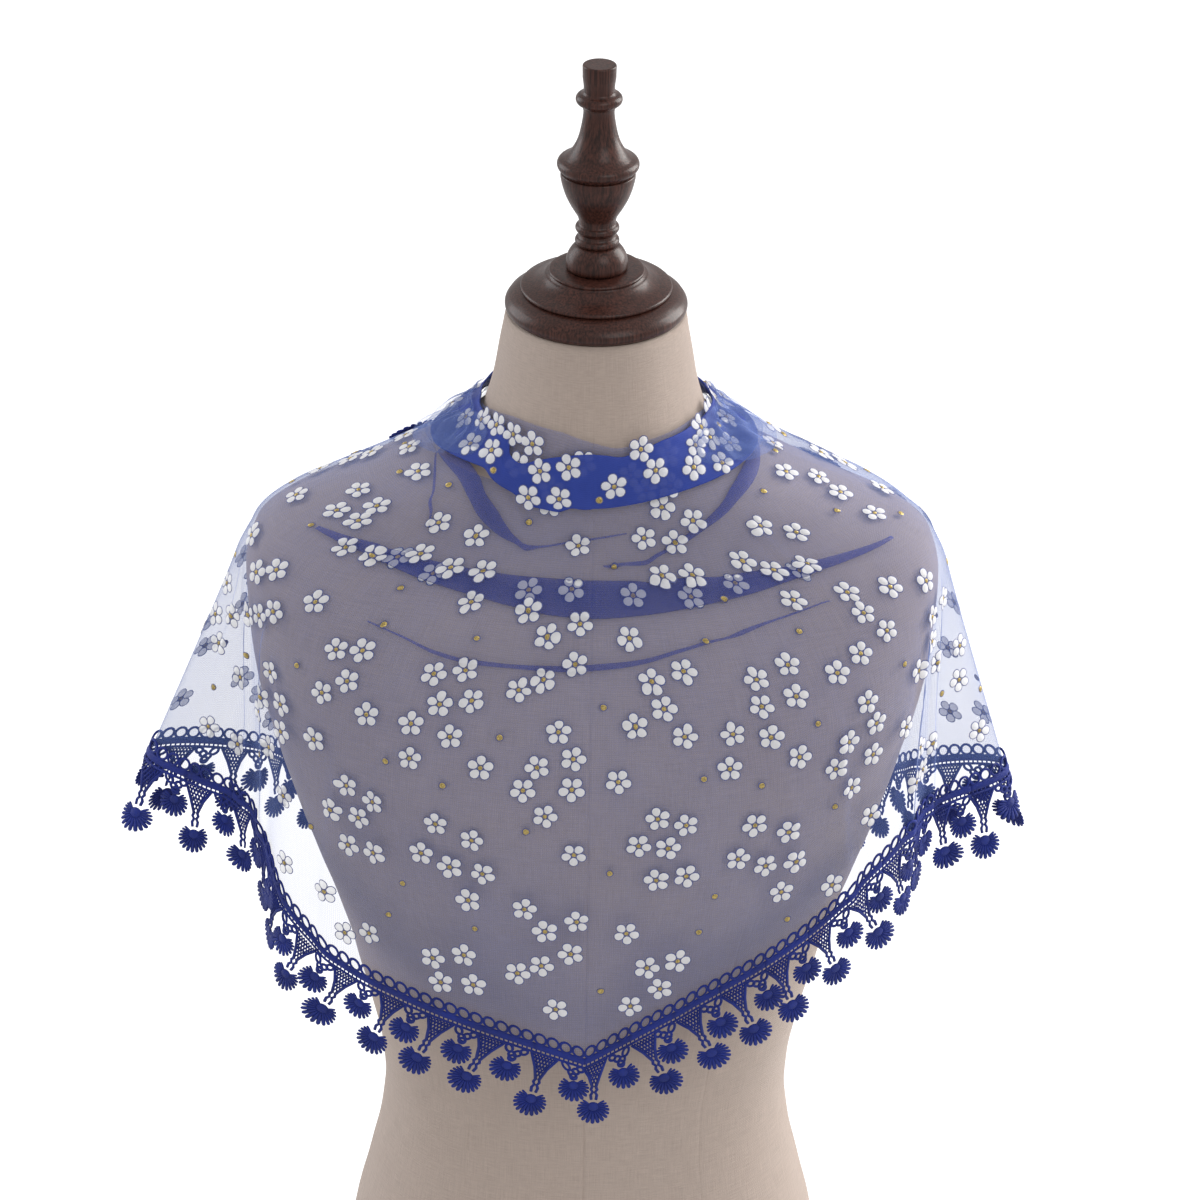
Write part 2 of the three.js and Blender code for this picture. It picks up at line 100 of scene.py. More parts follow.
def table_value(rows, key, column, place):
    """One column at a place along the key column, by a cubic between neighbouring rows whose
    slope at a row is the harmonic mean of the slopes beside it, and level where they oppose."""
    keys, values = rows[key], rows[column]
    slopes = np.diff(values) / np.diff(keys)
    before, after = slopes[:-1], slopes[1:]
    same_way = before * after > 0
    inner = np.where(same_way, 2 * before * after / np.where(same_way, before + after, 1), 0)
    tangents = np.concatenate([slopes[:1], inner, slopes[-1:]])
    place = np.clip(place, keys[0], keys[-1])
    i = np.clip(np.searchsorted(keys, place, side="right") - 1, 0, len(keys) - 2)
    span = keys[i + 1] - keys[i]
    t = (place - keys[i]) / span
    start = (1 + 2 * t) * (1 - t) ** 2 * values[i] + t * (1 - t) ** 2 * span * tangents[i]
    end = t * t * (3 - 2 * t) * values[i + 1] + t * t * (t - 1) * span * tangents[i + 1]
    return start + end


def smooth_step(start, end, value):
    """0 before start, 1 after end, and an even S between them."""
    t = np.clip((value - start) / (end - start), 0, 1)
    return t * t * (3 - 2 * t)


def wrapped(azimuth):
    """An azimuth brought into -180..180."""
    return (np.asarray(azimuth) + 180) % 360 - 180


def even_steps(curve, start, end, count, samples=1600):
    """Values of a curve's parameter at the ends of count stretches, each of the same length
    once BEND_WEIGHT millimetres are added for every radian of turn."""
    values = np.linspace(start, end, samples)
    steps = np.diff(curve(values), axis=0)
    lengths = np.linalg.norm(steps, axis=1)
    unit = steps / lengths[:, None]
    turns = np.arccos(np.clip((unit[1:] * unit[:-1]).sum(axis=1), -1, 1))
    weighed = lengths + BEND_WEIGHT * np.concatenate([[0], turns])
    along = np.concatenate([[0], np.cumsum(weighed)])
    return np.interp(np.linspace(0, along[-1], count + 1), along, values)


# ---- The form's surface and the hanging cloth ----

def form_radius(azimuth, z):
    """Distance from the axis to the form: a superellipse whose half width, depth and power
    come from the sections."""
    turn = np.radians(azimuth)
    across, along = np.abs(np.sin(turn)), np.cos(turn)
    side, front, back, power = (
        table_value(FORM_SECTIONS, "z", key, z) for key in ("side", "front", "back", "power"))
    depth = np.where(along > 0, front, back)
    return ((across / side) ** power + (np.abs(along) / depth) ** power) ** (-1 / power)


def at_azimuth(azimuth, radius, z):
    """Points from their azimuth, distance from the axis and height."""
    turn = np.radians(azimuth)
    return np.stack(np.broadcast_arrays(radius * np.sin(turn), -radius * np.cos(turn), z), axis=-1)


def peak_heights(lowest=380, highest=560, step=2):
    """Height at which the form is widest in each whole degree, between two heights, from the
    parabola through the widest sample and its neighbours."""
    azimuths = np.arange(-180.0, 181.0)
    heights = np.arange(lowest, highest + 1.0, step)
    best = heights[np.argmax(form_radius(azimuths[:, None], heights[None, :]), axis=1)]
    below, here, above = (form_radius(azimuths, best + k * step) for k in (-1, 0, 1))
    return azimuths, best + step * (below - above) / (2 * (below - 2 * here + above))


PEAKS = peak_heights()

# Creases. A swag runs round the body: its height at its middle, how far its ends rise,
# its half length in degrees, and its half width and depth in millimetres.
SWAGS = table("azimuth half z rise width depth", [
    (-4, 52, 537, 17, 2.6, 1.3), (6, 58, 514, 21, 3.2, 1.5), (-18, 34, 503, 9, 2.2, 0.8),
    (22, 40, 495, 13, 2.8, 1.0), (0, 46, 573, 10, 2.4, 1.2), (-30, 28, 579, 8, 2.0, 0.9),
    (34, 30, 566, 9, 2.2, 1.0), (12, 36, 598, 7, 2.4, 1.1), (-40, 22, 548, 6, 1.9, 0.8),
    (48, 24, 541, 8, 2.1, 0.9), (168, 60, 556, 14, 3.0, 1.4), (196, 52, 530, 16, 3.4, 1.3),
    (150, 34, 506, 9, 2.6, 0.9), (206, 38, 492, 11, 2.8, 1.0), (184, 44, 585, 9, 2.6, 1.2),
])
# A fall runs down: its azimuth at its top and foot, the heights of both, width and depth.
FALLS = table("top foot high low width depth", [
    (-62, -66, 604, 560, 2.4, 1.5), (58, 63, 600, 556, 2.4, 1.3), (-46, -49, 520, 372, 4.2, 1.4),
    (-57, -60, 500, 352, 3.6, 1.9), (-74, -77, 545, 396, 3.0, 2.4), (-81, -83, 548, 400, 2.6, 2.2),
    (-86, -87, 552, 402, 2.2, 2.0), (-98, -99, 545, 392, 2.6, 2.3), (-105, -108, 530, 372, 3.2, 2.2),
    (-115, -117, 520, 350, 3.6, 2.0), (-140, -142, 505, 305, 4.4, 2.3), (-158, -157, 500, 290, 4.0, 1.8),
    (-172, -170, 490, 282, 3.8, 1.6), (44, 49, 515, 395, 4.0, 1.3), (55, 60, 530, 388, 3.4, 1.8),
    (79, 74, 552, 404, 3.0, 2.8), (84, 82, 552, 408, 2.4, 1.9), (99, 101, 545, 390, 2.6, 2.4),
    (107, 110, 530, 375, 3.0, 2.1), (116, 119, 520, 350, 3.4, 1.9), (138, 140, 510, 310, 4.4, 2.2),
    (152, 151, 505, 295, 3.8, 1.7), (167, 169, 495, 285, 4.2, 1.8), (-24, -26, 470, 350, 5.0, 0.9),
    (19, 22, 455, 340, 5.0, 0.9), (4, 3, 440, 318, 4.4, 0.7),
])


def crease_height(azimuth, z):
    """How far the creases lift the cloth: for each, its depth times a bell across it, fading
    to nothing at both ends by the sine of the way along it."""
    radius = form_radius(azimuth, np.maximum(z, 430))
    total = np.zeros(np.broadcast(azimuth, z).shape)
    for middle, half, height, rise, width, depth in zip(*SWAGS.values()):
        along = wrapped(azimuth - middle) / half
        wander = 1.6 * np.sin(0.13 * azimuth + height)
        across = (z - height - rise * along**2 - wander) / width
        fade = np.sin(np.pi * np.clip((along + 1) / 2, 0, 1))
        total = total + depth * fade * np.exp(-across**2)
    for top, foot, high, low, width, depth in zip(*FALLS.values()):
        down = (high - z) / (high - low)
        line = top + (foot - top) * down + 0.5 * np.sin(0.045 * z + top)
        widened = width * (0.75 + 0.5 * np.clip(down, 0, 1))
        across = np.radians(wrapped(azimuth - line)) * radius / widened
        fade = smooth_step(0, 0.35, down) * (1 - smooth_step(0.9, 1.4, down))
        total = total + depth * fade * np.exp(-across**2)
    return total


def flute_reach(azimuth, z):
    """How far the flutes stand out: each grows with its fall and is a bell across."""
    total = np.zeros(np.broadcast(azimuth, z).shape)
    for middle, top, reach, width in zip(*FLUTES.values()):
        fall = np.maximum(0, top - z)
        bell = np.exp(-((wrapped(azimuth - middle) / width) ** 2))
        total = total + reach * fall**2 * bell / (fall + FLUTE_SOFTNESS)
    return total


def drape(azimuth, z):
    """The cloth's surface: on the form above its widest height, hanging straight below it,
    pushed out by the flutes and the creases."""
    peak = np.interp(wrapped(azimuth), *PEAKS)
    contact = form_radius(azimuth, np.maximum(z, peak))
    return at_azimuth(azimuth, contact + flute_reach(azimuth, z) + crease_height(azimuth, z), z)


def outward(azimuth, z, step=0.4):
    """Unit normal of the drape, down crossed with along, from steps either side."""
    along = drape(azimuth + step, z) - drape(azimuth - step, z)
    down = drape(azimuth, z - step) - drape(azimuth, z + step)
    normal = np.cross(down, along)
    return normal / np.linalg.norm(normal, axis=-1, keepdims=True)


def drape_out(azimuth, z, offset):
    """The drape moved out along its normal."""
    azimuth, z, offset = np.broadcast_arrays(azimuth, z, offset)
    return drape(azimuth, z) + outward(azimuth, z) * offset[..., None]


def hem_height(half, along):
    """Height of the net's lower edge on one half of the shawl."""
    return table_value(HEM, "azimuth", half, along)


def body_side(half):
    """1 on the right half and -1 on the left, whose azimuths are turned round."""
    return 1 if half == "right" else -1


def wing_lift(half, along, under, over):
    """How far out a half lies: the right half crosses over the left one at the back."""
    share = smooth_step(OVERLAP_START, OVERLAP_FULL, along) if half == "right" else 0 * along
    return under + share * (over - under)


# ---- Meshes ----

def grid_faces(columns, rows, looped=False):
    """Quads of a grid whose columns run towards +azimuth and rows run down, facing out."""
    i, j = np.meshgrid(np.arange(columns if looped else columns - 1), np.arange(rows - 1), indexing="ij")
    here, beside = i * rows + j, ((i + 1) % columns) * rows + j
    return np.stack([here, here + 1, beside + 1, beside], axis=-1).reshape(-1, 4)


def make_piece(name, points, faces, finishes, uv=None, finish_of=None, smooth=True):
    """A mesh object in metres from points in millimetres and a list of face arrays. uv has a
    row for each point, in metres. finish_of gives each face its place in finishes."""
    faces = [f for f in (faces if isinstance(faces, list) else [faces]) if len(f)]
    corners = np.concatenate([f.ravel() for f in faces])
    sides = np.concatenate([np.full(len(f), f.shape[1]) for f in faces])
    mesh = bpy.data.meshes.new(name)
    mesh.vertices.add(len(points))
    mesh.vertices.foreach_set("co", (np.asarray(points, float) * MM).ravel())
    mesh.loops.add(len(corners))
    mesh.loops.foreach_set("vertex_index", corners.astype(np.int32))
    mesh.polygons.add(len(sides))
    mesh.polygons.foreach_set("loop_start", (np.cumsum(sides) - sides).astype(np.int32))
    if finish_of is not None:
        mesh.polygons.foreach_set("material_index", np.asarray(finish_of, np.int32))
    mesh.update(calc_edges=True)
    if uv is not None:
        layer = mesh.uv_layers.new(name="Cloth")
        layer.data.foreach_set("uv", np.asarray(uv, np.float32)[corners].ravel())
    mesh.polygons.foreach_set("use_smooth", np.full(len(sides), smooth))
    for finish in finishes:
        mesh.materials.append(finish)
    piece = bpy.data.objects.new(name, mesh)
    bpy.context.scene.collection.objects.link(piece)
    return piece


def settle(piece, slot, *nodes):
    """Rides the piece on the body and hides the solids it stands for. slot is not used."""
    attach(piece, BODY)
    if nodes:
        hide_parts(*nodes)
    return piece


def strand(points, widths, height, sides=6, closed=False):
    """A flattened cord: an ellipse of the widths and height carried along a flat path of
    (x, y) points. Returns points (x, y, h), quads, end caps and (length, girth) places."""
    path = np.asarray(points, float)
    count = len(path)
    ahead = np.roll(path, -1, axis=0) - np.roll(path, 1, axis=0)
    if not closed:
        ahead[0], ahead[-1] = path[1] - path[0], path[-1] - path[-2]
    ahead = ahead / np.linalg.norm(ahead, axis=1, keepdims=True)
    across = np.stack([-ahead[:, 1], ahead[:, 0]], axis=1)
    angle = 2 * np.pi * np.arange(sides) / sides
    widths = np.broadcast_to(np.asarray(widths, float), (count,))
    spread = widths[:, None] / 2 * np.cos(angle)
    rise = height / 2 * np.sin(angle) * np.sqrt(widths / widths.max())[:, None]
    flat = path[:, None, :] + across[:, None, :] * spread[..., None]
    verts = np.concatenate([flat, rise[..., None]], axis=-1).reshape(-1, 3)
    ring, side = np.meshgrid(np.arange(count if closed else count - 1), np.arange(sides), indexing="ij")
    here, on = ring * sides, ((ring + 1) % count) * sides
    nxt = (side + 1) % sides
    quads = np.stack([here + side, here + nxt, on + nxt, on + side], axis=-1).reshape(-1, 4)
    caps = np.zeros((0, sides), int)
    if not closed:
        caps = np.stack([np.arange(sides)[::-1], (count - 1) * sides + np.arange(sides)])
    length = np.concatenate([[0], np.cumsum(np.linalg.norm(np.diff(path, axis=0), axis=1))])
    place = np.stack(np.broadcast_arrays(length[:, None], angle[None, :] * widths.mean() / 2), axis=-1)
    return verts, quads, caps, place.reshape(-1, 2)


def pad(x, y, wide, long, rise, sides=14):
    """A round or oval pad, domed on both faces: a rim and one raised ring each way."""
    angle = 2 * np.pi * np.arange(sides) / sides
    rim = np.stack([wide / 2 * np.cos(angle), long / 2 * np.sin(angle)], axis=1)
    middle = np.array([x, y])
    rings = [(rim, 0), (rim * 0.72, rise * 0.8), (rim * 0.72, -rise * 0.8)]
    points = [np.column_stack([ring + middle, np.full(sides, high)]) for ring, high in rings]
    points.append([[x, y, rise], [x, y, -rise]])
    i = np.arange(sides)
    nxt = (i + 1) % sides
    quads = np.concatenate([
        np.stack([i, nxt, nxt + sides, i + sides], axis=1),
        np.stack([i, i + 2 * sides, nxt + 2 * sides, nxt], axis=1),
    ])
    tris = np.concatenate([
        np.stack([i + sides, nxt + sides, np.full(sides, 3 * sides)], axis=1),
        np.stack([i + 2 * sides, np.full(sides, 3 * sides + 1), nxt + 2 * sides], axis=1),
    ])
    points = np.concatenate(points)
    return points, quads, tris, points[:, [1, 0]] - [y, x]


def joined(parts, anchors):
    """Strands and pads joined into one set of points, face arrays (one for each number of
    sides), places and the anchor of each point: its own x where its part has none."""
    starts = np.cumsum([0] + [len(p[0]) for p in parts[:-1]])
    moved = [faces + start for part, start in zip(parts, starts) for faces in part[1:3]]
    faces = [np.concatenate([f for f in moved if f.shape[1] == sides])
             for sides in sorted({f.shape[1] for f in moved})]
    points = np.concatenate([p[0] for p in parts])
    held = np.concatenate([part[0][:, 0] if anchor is None else np.full(len(part[0]), anchor)
                           for part, anchor in zip(parts, anchors)])
    return points, faces, np.concatenate([p[3] for p in parts]), held


def repeated(faces, copies, size):
    """Faces of one unit of size points repeated for each copy."""
    return (faces[None] + (np.arange(copies) * size)[:, None, None]).reshape(-1, faces.shape[1])


# ---- Finishes ----

def add_node(tree, kind, inputs=None, **settings):
    """A node with its settings, and its inputs given as values or linked from sockets."""
    made = tree.nodes.new(kind)
    for name, value in settings.items():
        setattr(made, name, value)
    for key, value in (inputs or {}).items():
        if isinstance(value, bpy.types.NodeSocket):
            tree.links.new(value, made.inputs[key])
        else:
            made.inputs[key].default_value = value
    return made


def math_node(tree, operation, *values, clamp=False):
    """The result of a Math node on two or three values or sockets."""
    made = add_node(tree, "ShaderNodeMath", dict(enumerate(values)), operation=operation)
    made.use_clamp = clamp
    return made.outputs[0]


def feed(tree, target, **sockets):
    """Links sockets to a node's inputs of the same names, with _ for a space."""
    for name, socket in sockets.items():
        tree.links.new(socket, target.inputs[name.replace("_", " ")])


def new_group(name, inputs, outputs):
    """A shader node group with named sockets, and its input and output nodes. An input is a
    name with its default: a number, or None for a vector."""
    tree = bpy.data.node_groups.new(name, "ShaderNodeTree")
    for label, default in inputs.items():
        kind = "NodeSocketVector" if default is None else "NodeSocketFloat"
        socket = tree.interface.new_socket(name=label, in_out="INPUT", socket_type=kind)
        if default is not None:
            socket.default_value = default
    for label in outputs:
        tree.interface.new_socket(name=label, in_out="OUTPUT", socket_type="NodeSocketFloat")
    return tree, tree.nodes.new("NodeGroupInput"), tree.nodes.new("NodeGroupOutput")


def noise(tree, vector, scale, detail=3.0, roughness=0.55):
    """A noise texture's value."""
    made = add_node(tree, "ShaderNodeTexNoise", {"Vector": vector, "Scale": scale})
    made.inputs["Detail"].default_value = detail
    made.inputs["Roughness"].default_value = roughness
    return made.outputs[0]


def stretched(tree, vector, scale):
    """A vector scaled by three numbers."""
    return add_node(tree, "ShaderNodeMapping", {"Vector": vector, "Scale": scale}).outputs[0]


def weave_group():
    """Plain weave: the product of a sine across and a sine along gives the over and under of
    the threads, and noise drawn out along each thread way gives its slubs."""
    inputs = {"Vector": None, "Pitch": 0.0005, "Slubs": 0.5}
    tree, inp, out = new_group("Woven threads", inputs, ["Height", "Tone"])
    parts = add_node(tree, "ShaderNodeSeparateXYZ", {0: inp.outputs["Vector"]})
    turns = math_node(tree, "DIVIDE", math.tau, inp.outputs["Pitch"])
    warp = math_node(tree, "SINE", math_node(tree, "MULTIPLY", parts.outputs[0], turns))
    weft = math_node(tree, "SINE", math_node(tree, "MULTIPLY", parts.outputs[1], turns))
    crossing = math_node(tree, "MULTIPLY", warp, weft)
    across = noise(tree, stretched(tree, inp.outputs["Vector"], (60, 1500, 1)), 1.0, 2.0)
    along = noise(tree, stretched(tree, inp.outputs["Vector"], (1500, 60, 1)), 1.0, 2.0)
    slubs = math_node(tree, "ADD", across, along)
    slubs = math_node(tree, "MULTIPLY", math_node(tree, "SUBTRACT", slubs, 1.0), inp.outputs["Slubs"])
    tone = math_node(tree, "ADD", math_node(tree, "MULTIPLY_ADD", crossing, 0.12, 0.5), slubs)
    height = math_node(tree, "MULTIPLY_ADD", crossing, 0.35, math_node(tree, "ADD", slubs, 0.5))
    feed(tree, out, Height=height, Tone=tone)
    return tree


def uneven_group():
    """Slow unevenness of colour: two sizes of noise, the larger one twice as strong."""
    tree, inp, out = new_group("Uneven tone", {"Vector": None, "Scale": 8.0, "Strength": 0.3}, ["Tone"])
    broad = noise(tree, inp.outputs["Vector"], inp.outputs["Scale"], 4.0)
    fine = noise(tree, inp.outputs["Vector"], math_node(tree, "MULTIPLY", inp.outputs["Scale"], 7.0), 2.0)
    mixed = math_node(tree, "SUBTRACT", math_node(tree, "MULTIPLY_ADD", broad, 2.0, fine), 1.5)
    feed(tree, out, Tone=math_node(tree, "MULTIPLY_ADD", mixed, inp.outputs["Strength"], 0.5, clamp=True))
    return tree


def net_group():
    """Net of small cells: a thread runs where the distance to the edge of a cell is short.
    Cover is how much of the light the threads stop, about its mean."""
    inputs = {"Vector": None, "Cell": 0.0011, "Mean": 0.3, "Contrast": 0.3}
    tree, inp, out = new_group("Net cells", inputs, ["Cover", "Height"])
    scale = math_node(tree, "DIVIDE", 1.0, inp.outputs["Cell"])
    cells = add_node(tree, "ShaderNodeTexVoronoi", {"Vector": inp.outputs["Vector"], "Scale": scale},
                     feature="DISTANCE_TO_EDGE", voronoi_dimensions="2D")
    cells.inputs["Randomness"].default_value = 0.35
    span = {"Value": cells.outputs["Distance"], "From Max": 0.34, "To Min": 1.0, "To Max": 0.0}
    thread = add_node(tree, "ShaderNodeMapRange", span).outputs[0]
    slow = noise(tree, inp.outputs["Vector"], 14.0, 3.0)
    swing = math_node(tree, "ADD", math_node(tree, "SUBTRACT", thread, 0.5),
                      math_node(tree, "MULTIPLY", math_node(tree, "SUBTRACT", slow, 0.5), 0.6))
    share = math_node(tree, "MULTIPLY_ADD", swing, inp.outputs["Contrast"], 1.0)
    feed(tree, out, Cover=math_node(tree, "MULTIPLY", inp.outputs["Mean"], share, clamp=True), Height=thread)
    return tree


def grain_group():
    """Wood grain: fine pores drawn out along the height, over broad wandering bands."""
    tree, inp, out = new_group("Wood grain", {"Vector": None}, ["Pores", "Bands"])
    pores = noise(tree, stretched(tree, inp.outputs["Vector"], (900, 900, 40)), 1.0, 4.0, 0.6)
    bands = noise(tree, stretched(tree, inp.outputs["Vector"], (70, 150, 9)), 1.0, 5.0, 0.6)
    feed(tree, out, Pores=pores, Bands=bands)
    return tree


GROUPS = {}


def shared(tree, builder, **inputs):
    """Places a shared group, built once, in a material and returns its outputs."""
    if builder not in GROUPS:
        GROUPS[builder] = builder()
    return add_node(tree, "ShaderNodeGroup", node_tree=GROUPS[builder], inputs=inputs).outputs


def uneven(tree, place, scale, strength):
    """The shared slow unevenness, from 0 to 1 about a half."""
    return shared(tree, uneven_group, Vector=place, Scale=scale, Strength=strength)["Tone"]


def object_place(tree):
    """Places in the object's own metres."""
    return tree.nodes.new("ShaderNodeTexCoord").outputs["Object"]


def cloth_place(tree):
    """Places on the cloth, in metres along it."""
    return tree.nodes.new("ShaderNodeUVMap").outputs[0]


def new_finish(name, **constants):
    """A material with one Principled shader and its plain constants."""
    finish = bpy.data.materials.new(name)
    finish.use_nodes = True
    shader = finish.node_tree.nodes["Principled BSDF"]
    for key, value in constants.items():
        shader.inputs[key.replace("_", " ")].default_value = value
    return finish, finish.node_tree, shader


def mix_colour(tree, share, first, second):
    """A colour between two, by a share from 0 to 1."""
    made = add_node(tree, "ShaderNodeMix", {"Factor": share}, data_type="RGBA")
    made.inputs[6].default_value = (*first, 1)
    made.inputs[7].default_value = (*second, 1)
    return made.outputs[2]


def toned(tree, share, colour, dark, light):
    """A colour that goes from dark times itself to light times itself, by a share."""
    ends = [[min(1.0, part * factor) for part in colour] for factor in (dark, light)]
    return mix_colour(tree, share, *ends)


def stepped(tree, value, size, start):
    """A value made smaller and moved: size times it, from start up."""
    return math_node(tree, "MULTIPLY_ADD", value, size, start)


def bump(tree, height, distance, strength):
    """A normal from a height."""
    inputs = {"Height": height, "Distance": distance, "Strength": strength}
    return add_node(tree, "ShaderNodeBump", inputs).outputs[0]


def linen_finish(settings):
    """Natural linen: weave and slubs on the cloth's own places, slowly uneven in tone."""
    finish, tree, shader = new_finish("Linen", Sheen_Weight=0.15, Sheen_Roughness=0.5)
    uv = cloth_place(tree)
    weave = shared(tree, weave_group, Vector=uv, Pitch=0.0011, Slubs=0.75)
    tinted = add_node(tree, "ShaderNodeMix", {"Factor": uneven(tree, uv, 9.0, 0.35)}, data_type="RGBA",
                      blend_type="MULTIPLY")
    tree.links.new(toned(tree, weave["Tone"], settings.linen, 0.72, 1.2), tinted.inputs[6])
    tinted.inputs[7].default_value = (0.93, 0.9, 0.88, 1)
    feed(tree, shader, Base_Color=tinted.outputs[2], Roughness=stepped(tree, weave["Tone"], 0.12, 0.8),
         Normal=bump(tree, weave["Height"], 0.0003, 0.8))
    return finish


def walnut_finish(settings):
    """Dark walnut under satin varnish, its pores drawn out along the turning."""
    finish, tree, shader = new_finish("Walnut", Coat_Weight=0.2, Coat_Roughness=0.2, Coat_IOR=1.45,
                                      Specular_IOR_Level=0.2)
    place = object_place(tree)
    grain = shared(tree, grain_group, Vector=place)
    slow = uneven(tree, place, 30.0, 0.5)
    span = {"Value": grain["Pores"], "From Min": 0.38, "From Max": 0.62}
    pores = add_node(tree, "ShaderNodeMapRange", span).outputs[0]
    bands = math_node(tree, "MULTIPLY", stepped(tree, grain["Bands"], 0.8, 0.1), pores)
    feed(tree, shader, Base_Color=toned(tree, bands, settings.walnut, 0.35, 2.1),
         Roughness=stepped(tree, slow, 0.25, 0.26), Normal=bump(tree, grain["Pores"], 0.00012, 0.6))
    return finish


def net_finish(name, settings, cover, contrast, doubled=False):
    """Sheer net: blue threads that stop a share of the light and let the rest through. Where
    it turns away from the eye its threads lie closer and stop more."""
    finish, tree, shader = new_finish(name, Sheen_Weight=0.05 if doubled else 0.25, Sheen_Roughness=0.4,
                                      Sheen_Tint=(0.75, 0.8, 1, 1), Specular_IOR_Level=0.2)
    uv = cloth_place(tree)
    thread = settings.doubled if doubled else settings.net
    cells = shared(tree, net_group, Vector=uv, Cell=0.0012, Mean=cover, Contrast=contrast)
    slow = uneven(tree, uv, 12.0, 0.5)
    away = add_node(tree, "ShaderNodeLayerWeight", {"Blend": 0.5}).outputs["Facing"]
    edge = math_node(tree, "POWER", away, 4.0)
    spare = math_node(tree, "SUBTRACT", 0.8, cells["Cover"], clamp=True)
    feed(tree, shader, Base_Color=toned(tree, slow, thread, 0.8, 1.25),
         Roughness=stepped(tree, slow, 0.15, 0.5), Alpha=stepped(tree, edge, spare, cells["Cover"]),
         Normal=bump(tree, cells["Height"], 0.0001, 0.5))
    return finish


def lace_finish(settings):
    """Blue lace thread: close satin stitches lie across each cord."""
    finish, tree, shader = new_finish("Lace thread", Specular_IOR_Level=0.25, Sheen_Weight=0.04,
                                      Sheen_Roughness=0.35, Sheen_Tint=(0.6, 0.7, 1, 1))
    parts = add_node(tree, "ShaderNodeSeparateXYZ", {0: cloth_place(tree)})
    stitch = math_node(tree, "SINE", math_node(tree, "MULTIPLY", parts.outputs[0], math.tau / 0.00055))
    slow = uneven(tree, object_place(tree), 60.0, 0.6)
    tone = math_node(tree, "MULTIPLY_ADD", stitch, 0.14, slow, clamp=True)
    feed(tree, shader, Base_Color=toned(tree, tone, settings.lace, 0.6, 1.5),
         Roughness=stepped(tree, slow, 0.2, 0.45),
         Normal=bump(tree, stepped(tree, stitch, 0.5, 0.5), 0.0002, 0.7))
    return finish


def petal_finish(settings):
    """White flock: short pile, a little uneven in tone."""
    finish, tree, shader = new_finish("White flock", Sheen_Weight=0.3, Sheen_Roughness=0.6, Alpha=0.7)
    place = object_place(tree)
    slow = uneven(tree, place, 220.0, 0.6)
    feed(tree, shader, Base_Color=toned(tree, slow, settings.petal, 0.86, 1.06),
         Roughness=stepped(tree, slow, 0.1, 0.82),
         Normal=bump(tree, noise(tree, place, 2600.0, 2.0), 0.0002, 0.6))
    return finish


def rim_and_shadow_finish(settings):
    """The dark rim round each petal, eye and dot: partly a darker edge of the flock, partly painted shadow
    round the spot. Slightly shiny.
    """
    finish, tree, shader = new_finish("Petal rim and painted shadow")
    slow = uneven(tree, object_place(tree), 300.0, 0.7)
    feed(tree, shader, Base_Color=toned(tree, slow, settings.rim, 0.6, 1.5),
         Roughness=stepped(tree, slow, 0.2, 0.4))
    return finish


def glitter_finish(settings):
    """Gold glitter: small flakes that differ in tone and shine."""
    finish, tree, shader = new_finish("Gold glitter")
    place = object_place(tree)
    flakes = add_node(tree, "ShaderNodeTexVoronoi", {"Vector": place, "Scale": 2200.0})
    flake = add_node(tree, "ShaderNodeSeparateColor", {0: flakes.outputs["Color"]}).outputs
    slow = math_node(tree, "MULTIPLY", uneven(tree, place, 90.0, 0.4), 0.2)
    feed(tree, shader, Base_Color=toned(tree, stepped(tree, flake[0], 0.8, slow), settings.gold, 0.45, 1.7),
         Roughness=stepped(tree, flake[1], 0.4, 0.25), Metallic=stepped(tree, flake[2], 0.5, 0.2),
         Normal=bump(tree, flake[0], 0.0003, 0.8))
    return finish


def floor_finish(settings):
    """A pale floor that glows a little, as a lit studio sweep does, and more to the eye."""
    finish, tree, shader = new_finish("Studio floor", Emission_Color=(1, 1, 1, 1), Roughness=0.9)
    seen = tree.nodes.new("ShaderNodeLightPath").outputs["Is Camera Ray"]
    slow = uneven(tree, object_place(tree), 2.0, 0.2)
    feed(tree, shader, Base_Color=mix_colour(tree, slow, (0.44, 0.44, 0.45), (0.49, 0.49, 0.49)),
         Emission_Strength=stepped(tree, seen, settings.floor_seen, settings.floor_glow))
    return finish


FINISHES = {}


def finish_named(name):
    """A finish by name, built the first time it is asked for."""
    scene = bpy.context.scene
    net, flowers = scene.shawl_net, scene.shawl_flowers
    if name not in FINISHES:
        FINISHES[name] = {
            "linen": lambda: linen_finish(scene.shawl_form),
            "walnut": lambda: walnut_finish(scene.shawl_form),
            "net": lambda: net_finish("Net", net, net.cover, 0.5),
            "doubled_net": lambda: net_finish("Doubled net", net, net.doubled_cover, 0.25, True),
            "wound_net": lambda: net_finish("Wound net", net, net.wound_cover, 0.15, True),
            "lace": lambda: lace_finish(scene.shawl_lace),
            "petal": lambda: petal_finish(flowers),
            "gold": lambda: glitter_finish(flowers),
            "rim": lambda: rim_and_shadow_finish(flowers),
        }[name]()
    return FINISHES[name]


# ---- The dress form ----

# Seams of the linen: azimuth and how deep each is drawn in, for a full seam of 1.
FORM_SEAMS = table("azimuth share", [
    (0, 1), (43, 0.35), (90, 0.7), (137, 0.35), (180, 1), (223, 0.35), (270, 0.7), (317, 0.35)])


# About how far the linen lies from the axis, for the places on its cloth.
FORM_REACH = 150


def form_azimuths(columns):
    """Even azimuths round the form, with a few close together at each seam."""
    even = np.arange(columns) * 360 / columns
    seams = FORM_SEAMS["azimuth"]
    close = (seams[:, None] + np.array([-0.9, -0.45, -0.18, 0, 0.18, 0.45, 0.9])).ravel() % 360
    apart = np.abs(wrapped(even[:, None] - seams)).min(axis=1) > 1
    return np.sort(np.concatenate([even[apart], close]))


